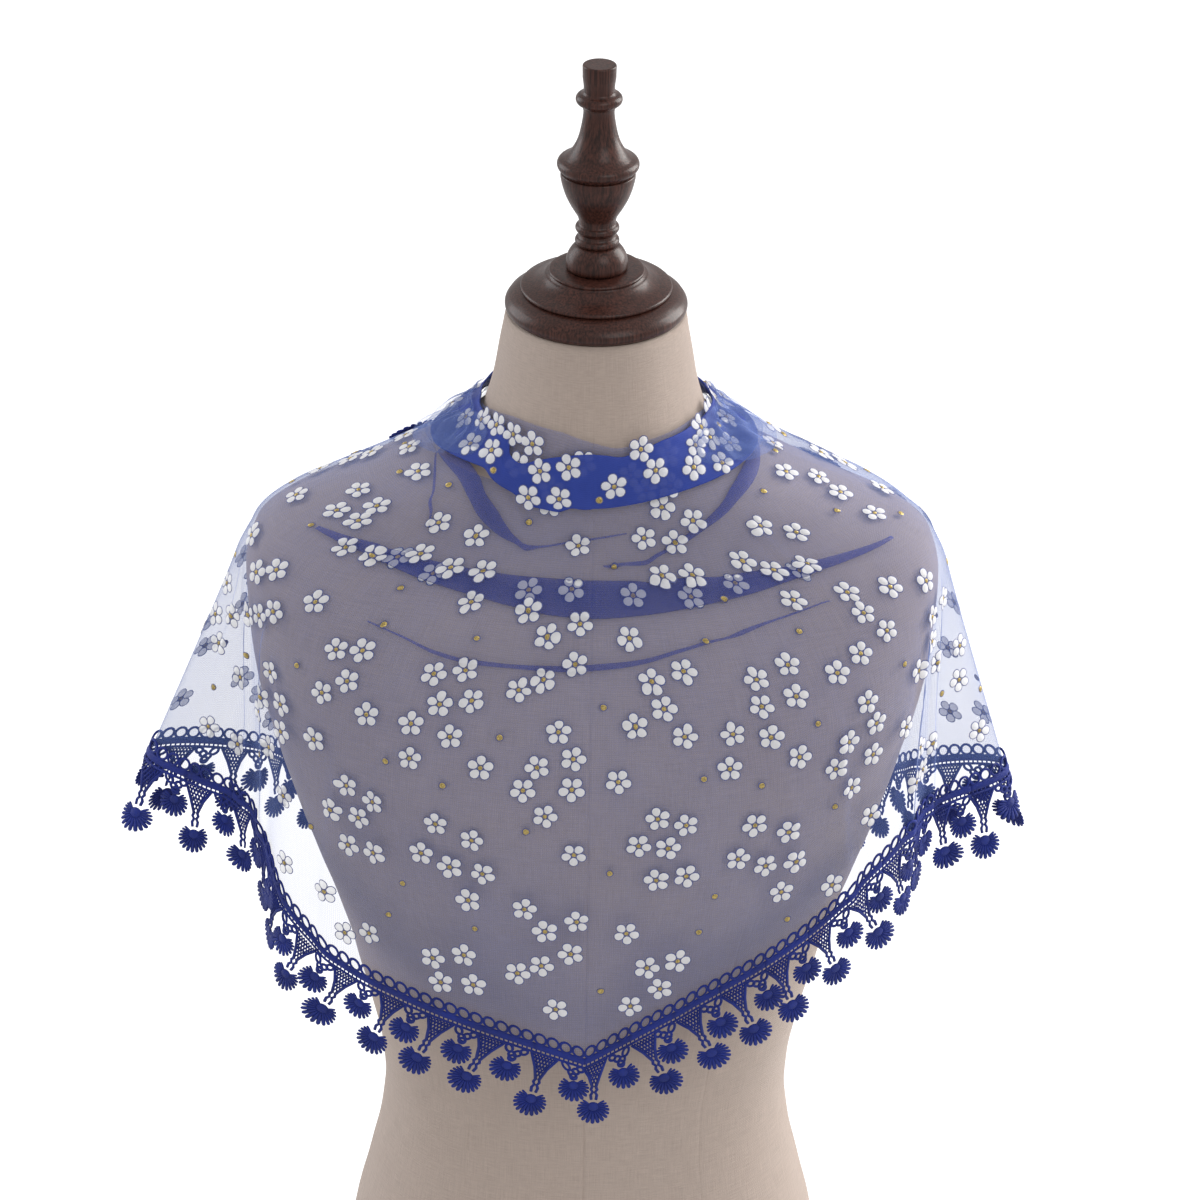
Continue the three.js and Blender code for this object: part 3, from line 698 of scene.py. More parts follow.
def seam_groove(azimuth, z, settings):
    """How far a seam draws the linen in: a bell across each seam, fading out at the neck."""
    radius = form_radius(azimuth, z)
    total = np.zeros(radius.shape)
    for seam, share in zip(*FORM_SEAMS.values()):
        across = np.radians(wrapped(azimuth - seam)) * radius / settings.seam_width
        total = total + settings.seam_depth * share * np.exp(-across**2)
    return total * (1 - smooth_step(560, 610, z))


def make_form(settings):
    """The linen form: the superellipse sections, with seams drawn in, closed by a flat base
    and a flat neck top."""
    azimuths = form_azimuths(settings.form_columns)
    heights = even_steps(lambda z: at_azimuth(90, form_radius(90, z), z), NECK_TOP, 0, settings.form_rows)
    around, down = np.meshgrid(azimuths, heights, indexing="ij")
    radius = form_radius(around, down)
    slack = 0.25 * np.sin(0.11 * down + 0.05 * around) * np.sin(0.07 * down - 0.09 * around)
    slack = slack * (down > 5) * (down < NECK_TOP - 5)
    points = at_azimuth(around, radius - seam_groove(around, down, settings) + slack, down)
    columns, rows = around.shape
    base = at_azimuth(azimuths, form_radius(azimuths, 0) * 0.5, 0)
    top = at_azimuth(azimuths, form_radius(azimuths, NECK_TOP) * 0.5, NECK_TOP)
    count = columns * rows
    verts = np.concatenate([points.reshape(-1, 3), base, top, [[0, 0, 0], [0, 0, NECK_TOP]]])
    i = np.arange(columns)
    nxt = (i + 1) % columns
    low, high = count, count + columns
    rings = np.concatenate([
        np.stack([i * rows + rows - 1, low + i, low + nxt, nxt * rows + rows - 1], axis=-1),
        np.stack([i * rows, nxt * rows, high + nxt, high + i], axis=-1),
    ])
    ends = np.concatenate([
        np.stack([low + i, np.full(columns, count + 2 * columns), low + nxt], axis=-1),
        np.stack([high + i, high + nxt, np.full(columns, count + 2 * columns + 1)], axis=-1),
    ])
    quads = np.concatenate([grid_faces(columns, rows, looped=True), rings])
    length = np.concatenate([[0], np.cumsum(np.hypot(np.diff(heights), np.diff(form_radius(90, heights))))])
    wide = np.radians(wrapped(around)) * FORM_REACH
    uv = np.concatenate([flat_places(wide, -length[None, :]), verts[count:, :2] * MM])
    piece = make_piece("linen_form", verts, [quads, ends], [finish_named("linen")], uv)
    return settle(piece, "linen", "dress_form")


# ---- The turned neck cap and finial ----

def smooth_run(points, count):
    """Points along a Catmull-Rom curve through a few (radius, height) places."""
    places = np.array(points, float)
    padded = np.concatenate([[2 * places[0] - places[1]], places, [2 * places[-1] - places[-2]]])
    t = np.linspace(0, len(places) - 1, count)
    i = np.minimum(t.astype(int), len(places) - 2)
    f = (t - i)[:, None]
    a, b, c, d = (padded[i + k] for k in range(4))
    return 0.5 * (2 * b + (c - a) * f + (2 * a - 5 * b + 4 * c - d) * f**2 + (3 * b - a - 3 * c + d) * f**3)


def arc_run(radius_at, height_at, size, start, end, count=10):
    """Points of an arc in a profile, by its centre, size and the angles from level."""
    angle = np.radians(np.linspace(start, end, count))
    return np.stack([radius_at + size * np.cos(angle), height_at + size * np.sin(angle)], axis=1)


def turned_profiles():
    """The profile of each turned piece as (radius, height) runs, from its foot up."""
    return {
        "cap_plate": (690.3, [
            [(46.2, 0)], arc_run(44.5, 4.2, 4.2, -62, 42, 14),
            smooth_run([(46.6, 8.6), (43.6, 10.6), (39.6, 12.3)], 8), [(38, 12.4)]]),
        "cap_step": (703.0, [
            [(39, 0)], arc_run(39.2, 1.2, 1.2, -60, 75, 8),
            smooth_run([(37.4, 3.0), (33.2, 4.4), (29.4, 6.6), (27.0, 8.8)], 14),
            [(25.0, 9.3)], arc_run(24.5, 10.4, 1.0, -50, 84, 8), [(22, 11.6)]]),
        "finial_vase": (714.9, [
            [(15.6, 0)],
            smooth_run([(16.5, 1.4), (16.3, 5.2), (14.8, 9.4), (12.2, 12.8), (10.2, 14.0)], 18),
            arc_run(9.6, 16.0, 2.2, -74, 74, 10), [(9.6, 19.6)], arc_run(9.4, 23.2, 2.3, -74, 74, 10),
            smooth_run([(9.7, 26.6), (10.6, 30.0), (13.8, 35.4), (16.8, 41.4), (18.8, 47.4),
                        (19.8, 52.0)], 26),
            arc_run(19.0, 53.8, 0.8, -10, 80, 5), [(18.2, 55)]]),
        "finial_bell": (770.2, [
            [(19.4, 0)], arc_run(18.3, 4.0, 3.4, -70, 56, 14),
            smooth_run([(18.2, 7.6), (14.6, 11.0), (11.2, 17.4), (9.2, 25.4), (8.2, 33.0),
                        (8.9, 36.4)], 26),
            arc_run(9.3, 40.4, 3, -80, 78, 12),
            smooth_run([(8.3, 44.2), (8.2, 47.6), (8.8, 52.4)], 8),
            arc_run(8.0, 58.6, 0.9, 0, 85, 6), [(7.2, 59.5)]]),
    }


def make_turned(name, seat, runs, settings):
    """A turned piece: its profile carried round the axis and closed at both poles."""
    profile = np.concatenate([np.asarray(run, float).reshape(-1, 2) for run in runs])[::-1]
    azimuths = np.arange(settings.turned_columns) * 360 / settings.turned_columns
    around, step = np.meshgrid(azimuths, np.arange(len(profile)), indexing="ij")
    points = at_azimuth(around, profile[step, 0], seat + profile[step, 1])
    columns, rows = around.shape
    count = columns * rows
    poles = [[0, 0, seat + profile[0, 1]], [0, 0, seat + profile[-1, 1]]]
    i = np.arange(columns)
    nxt = (i + 1) % columns
    ends = np.concatenate([
        np.stack([i * rows, nxt * rows, np.full(columns, count)], axis=-1),
        np.stack([i * rows + rows - 1, np.full(columns, count + 1), nxt * rows + rows - 1], axis=-1),
    ])
    verts = np.concatenate([points.reshape(-1, 3), poles])
    faces = [grid_faces(columns, rows, looped=True), ends]
    return settle(make_piece(f"walnut_{name}", verts, faces, [finish_named("walnut")]), "walnut", name)


# ---- The net ----

def hem_stations(half, start, end, count):
    """Azimuths along one half, evenly shared along the net's lower edge."""
    side = body_side(half)
    return even_steps(lambda along: drape(side * along, hem_height(half, along)), start, end, count, 6000)


def net_sheet(name, stations, rows, *nodes):
    """A sheet from the neck line to the lower edge. stations are rows of (half side, along);
    heights run down evenly, closer towards the shoulder where the form bends."""
    side, along = stations[:, 0], stations[:, 1]
    left, right = hem_height("left", along), hem_height("right", along)
    bottom = np.where(side > 0, right, left)
    share = np.linspace(0, 1, rows + 1)
    share = share * (0.7 + 0.3 * share)
    body = (side * along)[:, None]
    z = NECK_LINE + (bottom[:, None] - NECK_LINE) * share[None, :]
    lift = np.where(side > 0, wing_lift("right", along, NET_LAYER, OVER_NET_LAYER), NET_LAYER)
    points = drape_out(body, z, lift[:, None])
    across = np.linalg.norm(np.diff(points[:, -1], axis=0), axis=1)
    wide = np.concatenate([[0], np.cumsum(across)])
    down = np.linalg.norm(np.diff(points, axis=1), axis=2)
    deep = np.concatenate([np.zeros((len(points), 1)), np.cumsum(down, axis=1)], axis=1)
    piece = make_piece(f"{name}_sheet", points.reshape(-1, 3), grid_faces(*z.shape),
                       [finish_named("net")], flat_places(wide[:, None], -deep))
    return settle(piece, "net", *nodes)


def make_front(settings):
    """The front of the net, from one side line round the centre front to the other."""
    right = hem_stations("right", 0, SIDE_LINE - 0.05, settings.front_columns // 2)
    left = hem_stations("left", 0, SIDE_LINE - 0.05, settings.front_columns // 2)
    stations = np.concatenate([
        np.stack([-np.ones(len(left) - 1), left[:0:-1]], axis=1),
        np.stack([np.ones(len(right)), right], axis=1),
    ])
    return net_sheet("net_front", stations, settings.net_rows, "net_front_left", "net_front_right")


def make_wing(half, settings):
    """One half's net from its side line over the shoulder blade and past the centre back."""
    along = hem_stations(half, SIDE_LINE, WING_END, settings.wing_columns)
    side = body_side(half)
    along = along if side > 0 else along[::-1]
    stations = np.stack([np.full(len(along), side), along], axis=1)
    return net_sheet(f"net_wing_{half}", stations, settings.net_rows, f"net_wing_{half}")


# ---- Folds across the chest and the wrap round the neck ----

# Plies of each fold, with stations along each: its lower and upper edge.
COWL_FOLDS = {
    "fold_broad": [table("azimuth low high", [
        (-77, 571.8, 573.2), (-68, 568.5, 573), (-55, 561.5, 569.8), (-40, 556, 567.2), (-27, 552, 566),
        (-14, 549, 565.5), (1, 548, 565), (18, 549.5, 565), (34, 552.5, 565.5), (48, 556.5, 566.5),
        (61, 562, 567.6), (73, 566.4, 569.3), (80, 568.6, 569.8)])],
    "fold_thin": [table("azimuth low high", [
        (-58, 539.2, 539.8), (-51, 534.4, 535.4), (-43, 528.3, 529.8), (-35, 525.4, 527.2),
        (-23, 523.9, 526.1), (-8, 523.4, 526.4), (6, 525, 528), (16, 527.4, 529.8), (26, 532, 533.8),
        (40, 538.7, 540.1), (52, 544.5, 545.5), (63, 550.4, 551)])],
    "fold_neck_left": [table("azimuth low high", [
        (-76, 612, 616.5), (-66, 609.8, 616.5), (-60, 607.5, 615), (-53, 601, 611.5), (-48, 594, 605),
        (-42, 587.5, 598), (-38, 584, 591.5), (-34, 581.6, 586), (-28, 578.5, 581.5), (-22, 580, 582),
        (-12, 583, 584.5), (-3, 585.2, 586.4), (6, 587.2, 588.2), (16, 589.2, 589.9)]),
        table("azimuth low high", [
            (-76, 611, 611.6), (-70, 606.3, 607.2), (-65, 600, 601.4), (-61.5, 591, 593),
            (-59, 583, 583.8)])],
    "fold_neck_right": [table("azimuth low high", [
        (5, 573.2, 573.8), (14, 573, 574.1), (22, 573.2, 574.6), (29, 576.6, 578.6), (35, 580.3, 583),
        (40, 583.8, 587.5), (46, 588.8, 592.6), (54, 595, 600), (60, 600, 605.6), (70, 605.4, 611),
        (78, 609, 613.5), (87, 612, 615)])],
}
# How far out a fold's middle lies, and its half thickness: at most, at least, and by its width.
FOLD_OUT, FOLD_THICK, FOLD_THIN, FOLD_SHARE = 3.3, 0.75, 0.22, 0.2
FOLD_COLUMNS = 190
# How far past a fold's outer face the print lies on it, and how far under a fold's or the
# band's outer face the print lies that shows faintly.
OVER_FOLD, UNDER_FOLD, UNDER_BAND = 0.55, 1.4, 0.9
# Half thickness of the wound band.
BAND_THICK = 1.1
# Millimetres of cloth for a degree round the neck.
NECK_SPAN = 2.0
# Edges of the wound band and the height of the single layer's free edge round the neck.
NECK_BAND = table("azimuth low high", [
    (0, 604.5, 634), (6, 605, 633.4), (14, 606, 632), (22, 607, 633.6), (38, 609.3, 637), (58, 611, 637.6),
    (80, 612.6, 637.5), (110, 614, 636.5), (180, 614, 638), (250, 614, 636.5), (280, 613, 637.5),
    (296, 614.5, 637.5), (308, 615.5, 638.5), (313, 612.6, 634), (317, 610.6, 625), (323, 608.5, 623),
    (332, 603.2, 627), (341, 602.6, 630.5), (354, 604, 633.5), (360, 604.5, 634)])
NECK_STAND = table("azimuth low high", [
    (0, 612, 639.4), (14, 613, 636.4), (26, 614, 638.2), (64, 618, 640), (90, 620, 637), (135, 621, 640),
    (180, 622, 642), (225, 621, 640), (270, 620, 636), (300, 618, 642.5), (315, 616, 645),
    (340, 614, 644.2), (354, 612, 641), (360, 612, 639.4)])


def edges_at(rows, azimuth):
    """Heights of the lower and the upper edge of a fold or band at an azimuth."""
    return (table_value(rows, "azimuth", key, azimuth) for key in ("low", "high"))


def tube(azimuths, low, high, centre, thick, sides=18):
    """A flattened tube of cloth between two heights: its outline is a flat oval with crisp
    edges. centre gives how far out its middle lies and thick is its half thickness."""
    angle = 2 * np.pi * np.arange(sides) / sides
    middle, half = (low + high) / 2, (high - low) / 2
    z = middle[:, None] + half[:, None] * np.cos(angle)
    level = (1 - np.cos(angle)) / 2
    place = centre(azimuths[:, None], level[None, :])
    flat = np.sign(np.sin(angle)) * np.abs(np.sin(angle)) ** 0.7
    return drape_out(azimuths[:, None], z, place - np.outer(thick, flat))


def tube_faces(columns, sides, looped):
    """Faces of a tube, with both ends closed unless it goes all the way round."""
    i, j = np.meshgrid(np.arange(columns if looped else columns - 1), np.arange(sides), indexing="ij")
    on, nxt = (i + 1) % columns, (j + 1) % sides
    corners = [i * sides + j, on * sides + j, on * sides + nxt, i * sides + nxt]
    quads = np.stack(corners, axis=-1).reshape(-1, 4)
    caps = np.stack([np.arange(sides), (columns - 1) * sides + np.arange(sides)[::-1]])
    return quads, caps[:0] if looped else caps


def flat_places(wide, deep):
    """Places on cloth from distances one way and the other, in millimetres."""
    return np.stack(np.broadcast_arrays(wide, deep), axis=-1).reshape(-1, 2) * MM


def tube_places(points, azimuths):
    """Places on a tube's cloth: round the body one way and round the tube the other."""
    steps = np.linalg.norm(np.diff(points, axis=1, prepend=points[:, -1:]), axis=2)
    return flat_places(np.abs(wrapped(azimuths))[:, None] * NECK_SPAN, np.cumsum(steps, axis=1))


def fold_place(azimuth, level):
    """How far out a fold lies: a little fuller at its lower edge, with slow soft waves."""
    wave = 0.16 * np.sin(0.21 * azimuth) + 0.1 * np.sin(0.47 * azimuth + 4 * level)
    return FOLD_OUT + 0.25 * level + wave


def fold_thickness(low, high):
    """Half the thickness of a fold, by how wide it lies."""
    return np.clip(FOLD_SHARE * (high - low), FOLD_THIN, FOLD_THICK)


def make_fold(name, plies):
    """A fold across the chest: a flat doubled band of net that narrows to its ends."""
    clouds, quads, caps, places = [], [], [], []
    for rows in plies:
        azimuths = np.linspace(rows["azimuth"][0], rows["azimuth"][-1], FOLD_COLUMNS)
        low, high = edges_at(rows, azimuths)
        points = tube(azimuths, low, high, fold_place, fold_thickness(low, high))
        start = sum(len(c) for c in clouds)
        faces, ends = tube_faces(*points.shape[:2], False)
        clouds.append(points.reshape(-1, 3))
        quads.append(faces + start)
        caps.append(ends + start)
        places.append(tube_places(points, azimuths))
    faces = [np.concatenate(quads), np.concatenate(caps)]
    piece = make_piece(f"{name}_cloth", np.concatenate(clouds), faces, [finish_named("doubled_net")],
                       np.concatenate(places))
    return settle(piece, "doubled_net", name)


def over_folds(azimuth, z):
    """How far the folds lift what lies over them: to each fold's outer face between its
    edges, easing off beside them."""
    total = np.zeros(np.broadcast(azimuth, z).shape)
    for rows in [ply for plies in COWL_FOLDS.values() for ply in plies]:
        low, high = edges_at(rows, azimuth)
        inside = smooth_step(-0.9, 0.4, z - low) * smooth_step(-0.9, 0.4, high - z)
        held = (azimuth > rows["azimuth"][0]) & (azimuth < rows["azimuth"][-1])
        rise = FOLD_OUT + OVER_FOLD + fold_thickness(low, high) - NET_LAYER
        total = np.maximum(total, held * inside * rise)
    return total


def band_place(azimuth, level):
    """How far out the wound band's middle lies, from its upper edge to its lower one."""
    side = smooth_step(40, 75, np.abs(wrapped(azimuth)))
    turn = np.radians(azimuth)
    wave = np.sin(5 * turn + 7 * level) + 0.7 * np.sin(9 * turn - 11 * level + 1)
    wave = wave + 0.5 * np.sin(17 * turn + 16 * level)
    ridge = np.exp(-(((level - 0.42 - 0.1 * np.sin(turn + 0.6)) / 0.07) ** 2))
    return 4.0 + 2.2 * level + (0.16 + 0.34 * side) * wave + 0.5 * ridge


def make_neck_band():
    """The band wound round the neck: a smooth flat tube of net, creased a little in front and
    more at the sides, with crisp edges."""
    columns, sides = 320, 40
    azimuths = np.arange(columns) * 360 / columns
    low, high = edges_at(NECK_BAND, azimuths)
    points = tube(azimuths, low, high, band_place, np.full(columns, BAND_THICK), sides)
    faces, _ = tube_faces(columns, sides, True)
    piece = make_piece("neck_band_cloth", points.reshape(-1, 3), faces, [finish_named("wound_net")],
                       tube_places(points, azimuths))
    return settle(piece, "doubled_net", "neck_band")


def make_neck_stand():
    """The single layer that stands up inside the neck band, its free edge smooth."""
    columns, rows = 240, 20
    azimuths = np.arange(columns) * 360 / columns
    low, high = edges_at(NECK_STAND, azimuths)
    fall = np.linspace(0, 1, rows)
    z = high[:, None] + (low - high)[:, None] * fall
    turn = np.radians(azimuths)[:, None]
    offset = 2.1 + 0.25 * np.sin(4 * turn + 5 * fall) + 0.12 * np.sin(11 * turn)
    sheet = drape_out(azimuths[:, None], z, offset)
    places = flat_places(np.abs(wrapped(azimuths))[:, None] * NECK_SPAN, np.arange(rows)[None, :] * 1.2)
    piece = make_piece("neck_stand_cloth", sheet.reshape(-1, 3), grid_faces(columns, rows, looped=True),
                       [finish_named("net")], places)
    return settle(piece, "net", "neck_stand")


# Loose crumpled strips beside the neck: where each starts and ends, its lower and upper
# height, its place outwards, how deep its waves are and their phase.
FRILLS = table("start end low high out wave phase", [
    (52, 118, 612, 638, 8.6, 1.7, 0.4), (66, 104, 608, 630, 10.6, 1.5, 2.1),
    (-118, -58, 612, 637, 8.4, 1.5, 1.2), (-100, -70, 608, 626, 10.2, 1.3, 3.0)])
FRILL_ROOT = 7.4


def make_neck_frill():
    """Loose crumpled strips of single net that stand out at both sides of the neck."""
    clouds, quads, places = [], [], []
    columns, rows = 90, 22
    for start, end, low, high, out, deep, phase in zip(*FRILLS.values()):
        azimuth = np.linspace(start, end, columns)[:, None]
        fall = np.linspace(0, 1, rows)[None, :]
        ends = np.sin(np.pi * np.linspace(0, 1, columns))[:, None] ** 0.5
        z = high + (low - high) * fall + 2.2 * np.sin(0.19 * azimuth + phase) * (1 - fall)
        z = (high + low) / 2 + (z - (high + low) / 2) * (0.35 + 0.65 * ends)
        wave = np.sin(0.34 * azimuth + 6 * fall + phase) + 0.6 * np.sin(0.71 * azimuth - 8 * fall)
        swell = 0.4 + 0.6 * np.sin(np.pi * fall)
        offset = FRILL_ROOT + (out - FRILL_ROOT) * ends * fall + deep * ends * wave * swell
        points = drape_out(azimuth, z, offset)
        quads.append(grid_faces(columns, rows) + sum(len(c) for c in clouds))
        clouds.append(points.reshape(-1, 3))
        places.append(flat_places(azimuth * 1.4, -fall * (high - low)))
    piece = make_piece("neck_frill_cloth", np.concatenate(clouds), np.concatenate(quads),
                       [finish_named("net")], np.concatenate(places))
    return settle(piece, "net")


# ---- Flowers ----

REPEAT = 172
# The repeat of the print: where each bunch starts, and its flowers from there, in millimetres
# to the right and up.
BUNCHES = [
    ((33, 523), [(0, 0), (16, 4), (7, -15), (-9, -25), (17, -31)]),
    ((88, 521), [(0, 0), (17, 5), (4, -16), (22, -13), (-12, -29), (9, -33)]),
    ((155, 495), [(0, 0), (8, -15), (-11, -20), (-18, -34), (8, -33), (-6, -49)]),
    ((90, 436), [(0, 0), (20, -7), (-9, -20), (7, -27), (25, -27), (18, -46)]),
    ((37, 446), [(0, 0), (16, -5), (-10, -17), (6, -18), (0, -38), (17, -37)]),
    ((139, 387), [(0, 0), (27, -6), (10, -14), (25, -28), (9, -36)]),
    ((0, 0), [(134, 517), (114, 473), (16, 468), (75, 472), (164, 423), (21, 374)]),
]
GOLD_DOTS = [
    (125, 491), (94, 460), (62, 468), (61, 544), (8, 508), (139, 437), (70, 394), (112, 372), (12, 412)]
# Heights on the flat cloth between which the print runs.
PRINT_LOW, PRINT_HIGH = 120, 720


def sheet_places(lowest, highest, across_from, across_to, spots, seed):
    """Every spot of the repeat between two heights and two distances round, with a small
    seeded shift."""
    rng = np.random.default_rng(seed)
    spots = np.array(spots, float)
    i = np.arange(math.floor(across_from / REPEAT) - 1, math.ceil(across_to / REPEAT) + 1)
    j = np.arange(math.floor(lowest / REPEAT) - 4, math.ceil(highest / REPEAT) + 1)
    shift = np.stack(np.meshgrid(i * REPEAT, j * REPEAT, indexing="ij"), axis=-1).reshape(-1, 1, 2)
    places = (shift + spots[None]).reshape(-1, 2)
    places = places + rng.uniform(-0.8, 0.8, places.shape)
    keep = (places[:, 0] > across_from) & (places[:, 0] < across_to)
    keep &= (places[:, 1] > lowest) & (places[:, 1] < highest)
    return places[keep]


SURFACE_STEP = {"azimuth": 0.25, "z": 2.0}
# Heights between which the cloth is measured, and the one that flat heights are counted from.
MAP_LOW, MAP_HIGH, MAP_LEVEL = 230, 641, 440
# Sideways distances from a spot's middle at which its azimuths are found.
SPAN_NODES = np.array([-9.0, -4.5, 0.0, 4.5, 9.0])


def cloth_map(azimuth_from, azimuth_to, middle):
    """Distances on the drape: round it at each height from a middle azimuth, and up it at
    each azimuth, so that MAP_LEVEL is its own height. Returns azimuths, heights and both."""
    azimuths = np.arange(azimuth_from, azimuth_to + 0.1, SURFACE_STEP["azimuth"])
    heights = np.arange(MAP_LOW, MAP_HIGH, SURFACE_STEP["z"])
    grid = drape(azimuths[:, None], heights[None, :])
    round_step = np.linalg.norm(np.diff(grid, axis=0), axis=2)
    across = np.concatenate([np.zeros((1, len(heights))), np.cumsum(round_step, axis=0)])
    across -= across[np.argmin(np.abs(azimuths - middle))][None, :]
    up_step = np.linalg.norm(np.diff(grid, axis=1), axis=2)
    up = np.concatenate([np.zeros((len(azimuths), 1)), np.cumsum(up_step, axis=1)], axis=1)
    up += MAP_LEVEL - up[:, np.argmin(np.abs(heights - MAP_LEVEL))][:, None]
    return azimuths, heights, across, up


def nearest(values, step, wanted):
    """Place in an even row of values of the one nearest to what is wanted."""
    return int(np.clip(round((wanted - values[0]) / step), 0, len(values) - 1))


def place_flowers(places, cloth):
    """The azimuth and height of each flat place, by going up and across in turn, with how
    much height a millimetre up the cloth is, whether it lies on the cloth, and its azimuths
    at SPAN_NODES."""
    azimuths, heights, across, up = cloth
    reach = 8
    found = []
    for wide, high in places:
        z = high
        for _ in range(3):
            row = nearest(heights, SURFACE_STEP["z"], z)
            azimuth = np.interp(wide, across[:, row], azimuths)
            column = nearest(azimuths, SURFACE_STEP["azimuth"], azimuth)
            z = np.interp(high, up[column], heights)
        inside = across[0, row] < wide < across[-1, row]
        nodes = np.interp(wide + SPAN_NODES, across[:, row], azimuths)
        rise = np.interp(high + reach, up[column], heights) - np.interp(high - reach, up[column], heights)
        found.append((azimuth, z, rise / (2 * reach), float(inside), *nodes))
    return np.array(found).reshape(-1, 4 + len(SPAN_NODES))


# Width of the dark rim round each petal, eye and dot, which is partly painted shadow.
PETAL_RIM = 0.5
# Smallest and largest copy of a spot.
SPOT_SIZES = 0.95, 1.04
# Places of the finishes in a piece of the print. RIM is the dark rim, partly painted shadow.
FLOCK, GLITTER, RIM = 0, 1, 2


def petal_shape(length, width, base, sides=12):
    """A petal: an oval that lies away from the flower's centre, domed, with a flat rim that takes the dark
    rim finish, partly painted shadow.
    Returns points, quads, the finish of each quad, and the triangles at its middle."""
    angle = 2 * np.pi * np.arange(sides) / sides
    oval = np.stack([width / 2 * np.cos(angle), length / 2 * np.sin(angle)], axis=1)
    oval[:, 0] *= 1 + 0.14 * oval[:, 1] / (length / 2)
    rim = oval + PETAL_RIM * oval / np.linalg.norm(oval, axis=1, keepdims=True)
    centre = np.array([0, base + length / 2])
    rings = [(rim, 0.02), (oval, 0.12), (oval * 0.7, 0.5)]
    points = [np.column_stack([ring + centre, np.full(sides, rise)]) for ring, rise in rings]
    points.append([[*centre, 0.6]])
    i = np.arange(sides)
    nxt = (i + 1) % sides
    band = np.stack([i, nxt, nxt + sides, i + sides], axis=1)
    quads = np.concatenate([band, band + sides])
    tris = np.stack([i + 2 * sides, nxt + 2 * sides, np.full(sides, 3 * sides)], axis=1)
    return np.concatenate(points), quads, np.repeat([True, False], sides), tris


def spot_shape(shapes):
    """Petal shapes joined into one spot of the print. shapes are rows of (petal shape, turn
    in degrees, finish). Returns points, quads, triangles and the finish of each."""
    points, quads, tris, quad_finish, tri_finish = [], [], [], [], []
    for (cloud, sides, rim, middle), degrees, finish in shapes:
        start = sum(len(p) for p in points)
        c, s = math.cos(math.radians(degrees)), math.sin(math.radians(degrees))
        points.append(cloud @ np.array([[c, s, 0], [-s, c, 0], [0, 0, 1]]))
        quads.append(sides + start)
        tris.append(middle + start)
        quad_finish.append(np.where(rim, RIM, finish))
        tri_finish.append(np.full(len(middle), finish))
    return tuple(np.concatenate(x) for x in (points, quads, tris, quad_finish, tri_finish))


def flower_shape(settings):
    """Five petals round a low glitter disc."""
    petal = petal_shape(settings.petal_length, settings.petal_width, settings.petal_base)
    eye = petal_shape(settings.eye, settings.eye, -settings.eye / 2)
    return spot_shape([(petal, 72 * k, FLOCK) for k in range(5)] + [(eye, 0, GLITTER)])


def spread_shapes(shape, placed, turns, sizes, lift_of):
    """Copies of a flat shape laid on the drape: each is turned and sized, its sideways
    distances become azimuths by the map beside its place, and it stands on the net."""
    points = shape[0]
    c, s = np.cos(turns)[:, None], np.sin(turns)[:, None]
    dx = (points[:, 0] * c - points[:, 1] * s) * sizes[:, None]
    dy = (points[:, 0] * s + points[:, 1] * c) * sizes[:, None]
    step = SPAN_NODES[1] - SPAN_NODES[0]
    spot = np.clip((dx - SPAN_NODES[0]) / step, 0, len(SPAN_NODES) - 1.001)
    i = spot.astype(int)
    nodes = placed[:, 4:]
    rows = np.arange(len(placed))[:, None]
    azimuth = nodes[rows, i] + (nodes[rows, i + 1] - nodes[rows, i]) * (spot - i)
    z = placed[:, 1:2] + dy * placed[:, 2:3]
    height = points[:, 2][None, :] + lift_of(azimuth, z)
    return drape_out(azimuth, z, height).reshape(-1, 3)


def inside_net(half_of, placed, margin, azimuth_from, azimuth_to):
    """Which places lie on a net, clear of its lower edge and of its ends."""
    azimuth, z = placed[:, 0], placed[:, 1]
    along = np.abs(azimuth)
    edge = np.where(half_of(azimuth) > 0, hem_height("right", along), hem_height("left", along))
    keep = (z > edge + margin) & (z < NECK_LINE - 4) & (placed[:, 3] > 0)
    return keep & (azimuth > azimuth_from) & (azimuth < azimuth_to)


def dot_shape(settings):
    """A gold dot: one round petal of glitter."""
    return spot_shape([(petal_shape(settings.dot, settings.dot, -settings.dot / 2), 0, GLITTER)])


def make_print(name, slot, laid):
    """Spots of the print joined into one piece. laid has rows of (shape, points of copies)."""
    quads, tris, kinds_q, kinds_t = [], [], [], []
    start = 0
    for shape, points in laid:
        size = len(shape[0])
        copies = len(points) // size
        quads.append(repeated(shape[1], copies, size) + start)
        tris.append(repeated(shape[2], copies, size) + start)
        kinds_q.append(np.tile(shape[3], copies))
        kinds_t.append(np.tile(shape[4], copies))
        start += len(points)
    finishes = [finish_named(finish) for finish in ("petal", "gold", "rim")]
    piece = make_piece(name, np.concatenate([points for _, points in laid]),
                       [np.concatenate(quads), np.concatenate(tris)], finishes,
                       finish_of=np.concatenate(kinds_q + kinds_t))
    return settle(piece, slot)


def make_flowers(name, azimuth_from, azimuth_to, middle, half_of, lift_of, seed, settings):
    """The flowers and gold dots on one net, as one joined mesh."""
    cloth = cloth_map(azimuth_from, azimuth_to, middle)
    across = cloth[2]
    spots = [(x + dx, y + dy) for (x, y), flowers in BUNCHES for dx, dy in flowers]
    rng = np.random.default_rng(seed)
    inset = 0.8
    laid = []
    for shape, chart in ((flower_shape(settings), spots), (dot_shape(settings), GOLD_DOTS)):
        places = sheet_places(PRINT_LOW, PRINT_HIGH, across.min(), across.max(), chart, seed)
        placed = place_flowers(places, cloth)
        ends = azimuth_from + inset, azimuth_to - inset
        placed = placed[inside_net(half_of, placed, settings.edge_margin, *ends)]
        turns = rng.uniform(0, math.tau, len(placed))
        sizes = rng.uniform(*SPOT_SIZES, len(placed))
        laid.append((shape, spread_shapes(shape, placed, turns, sizes, lift_of)))
    return make_print(name, "net", laid)


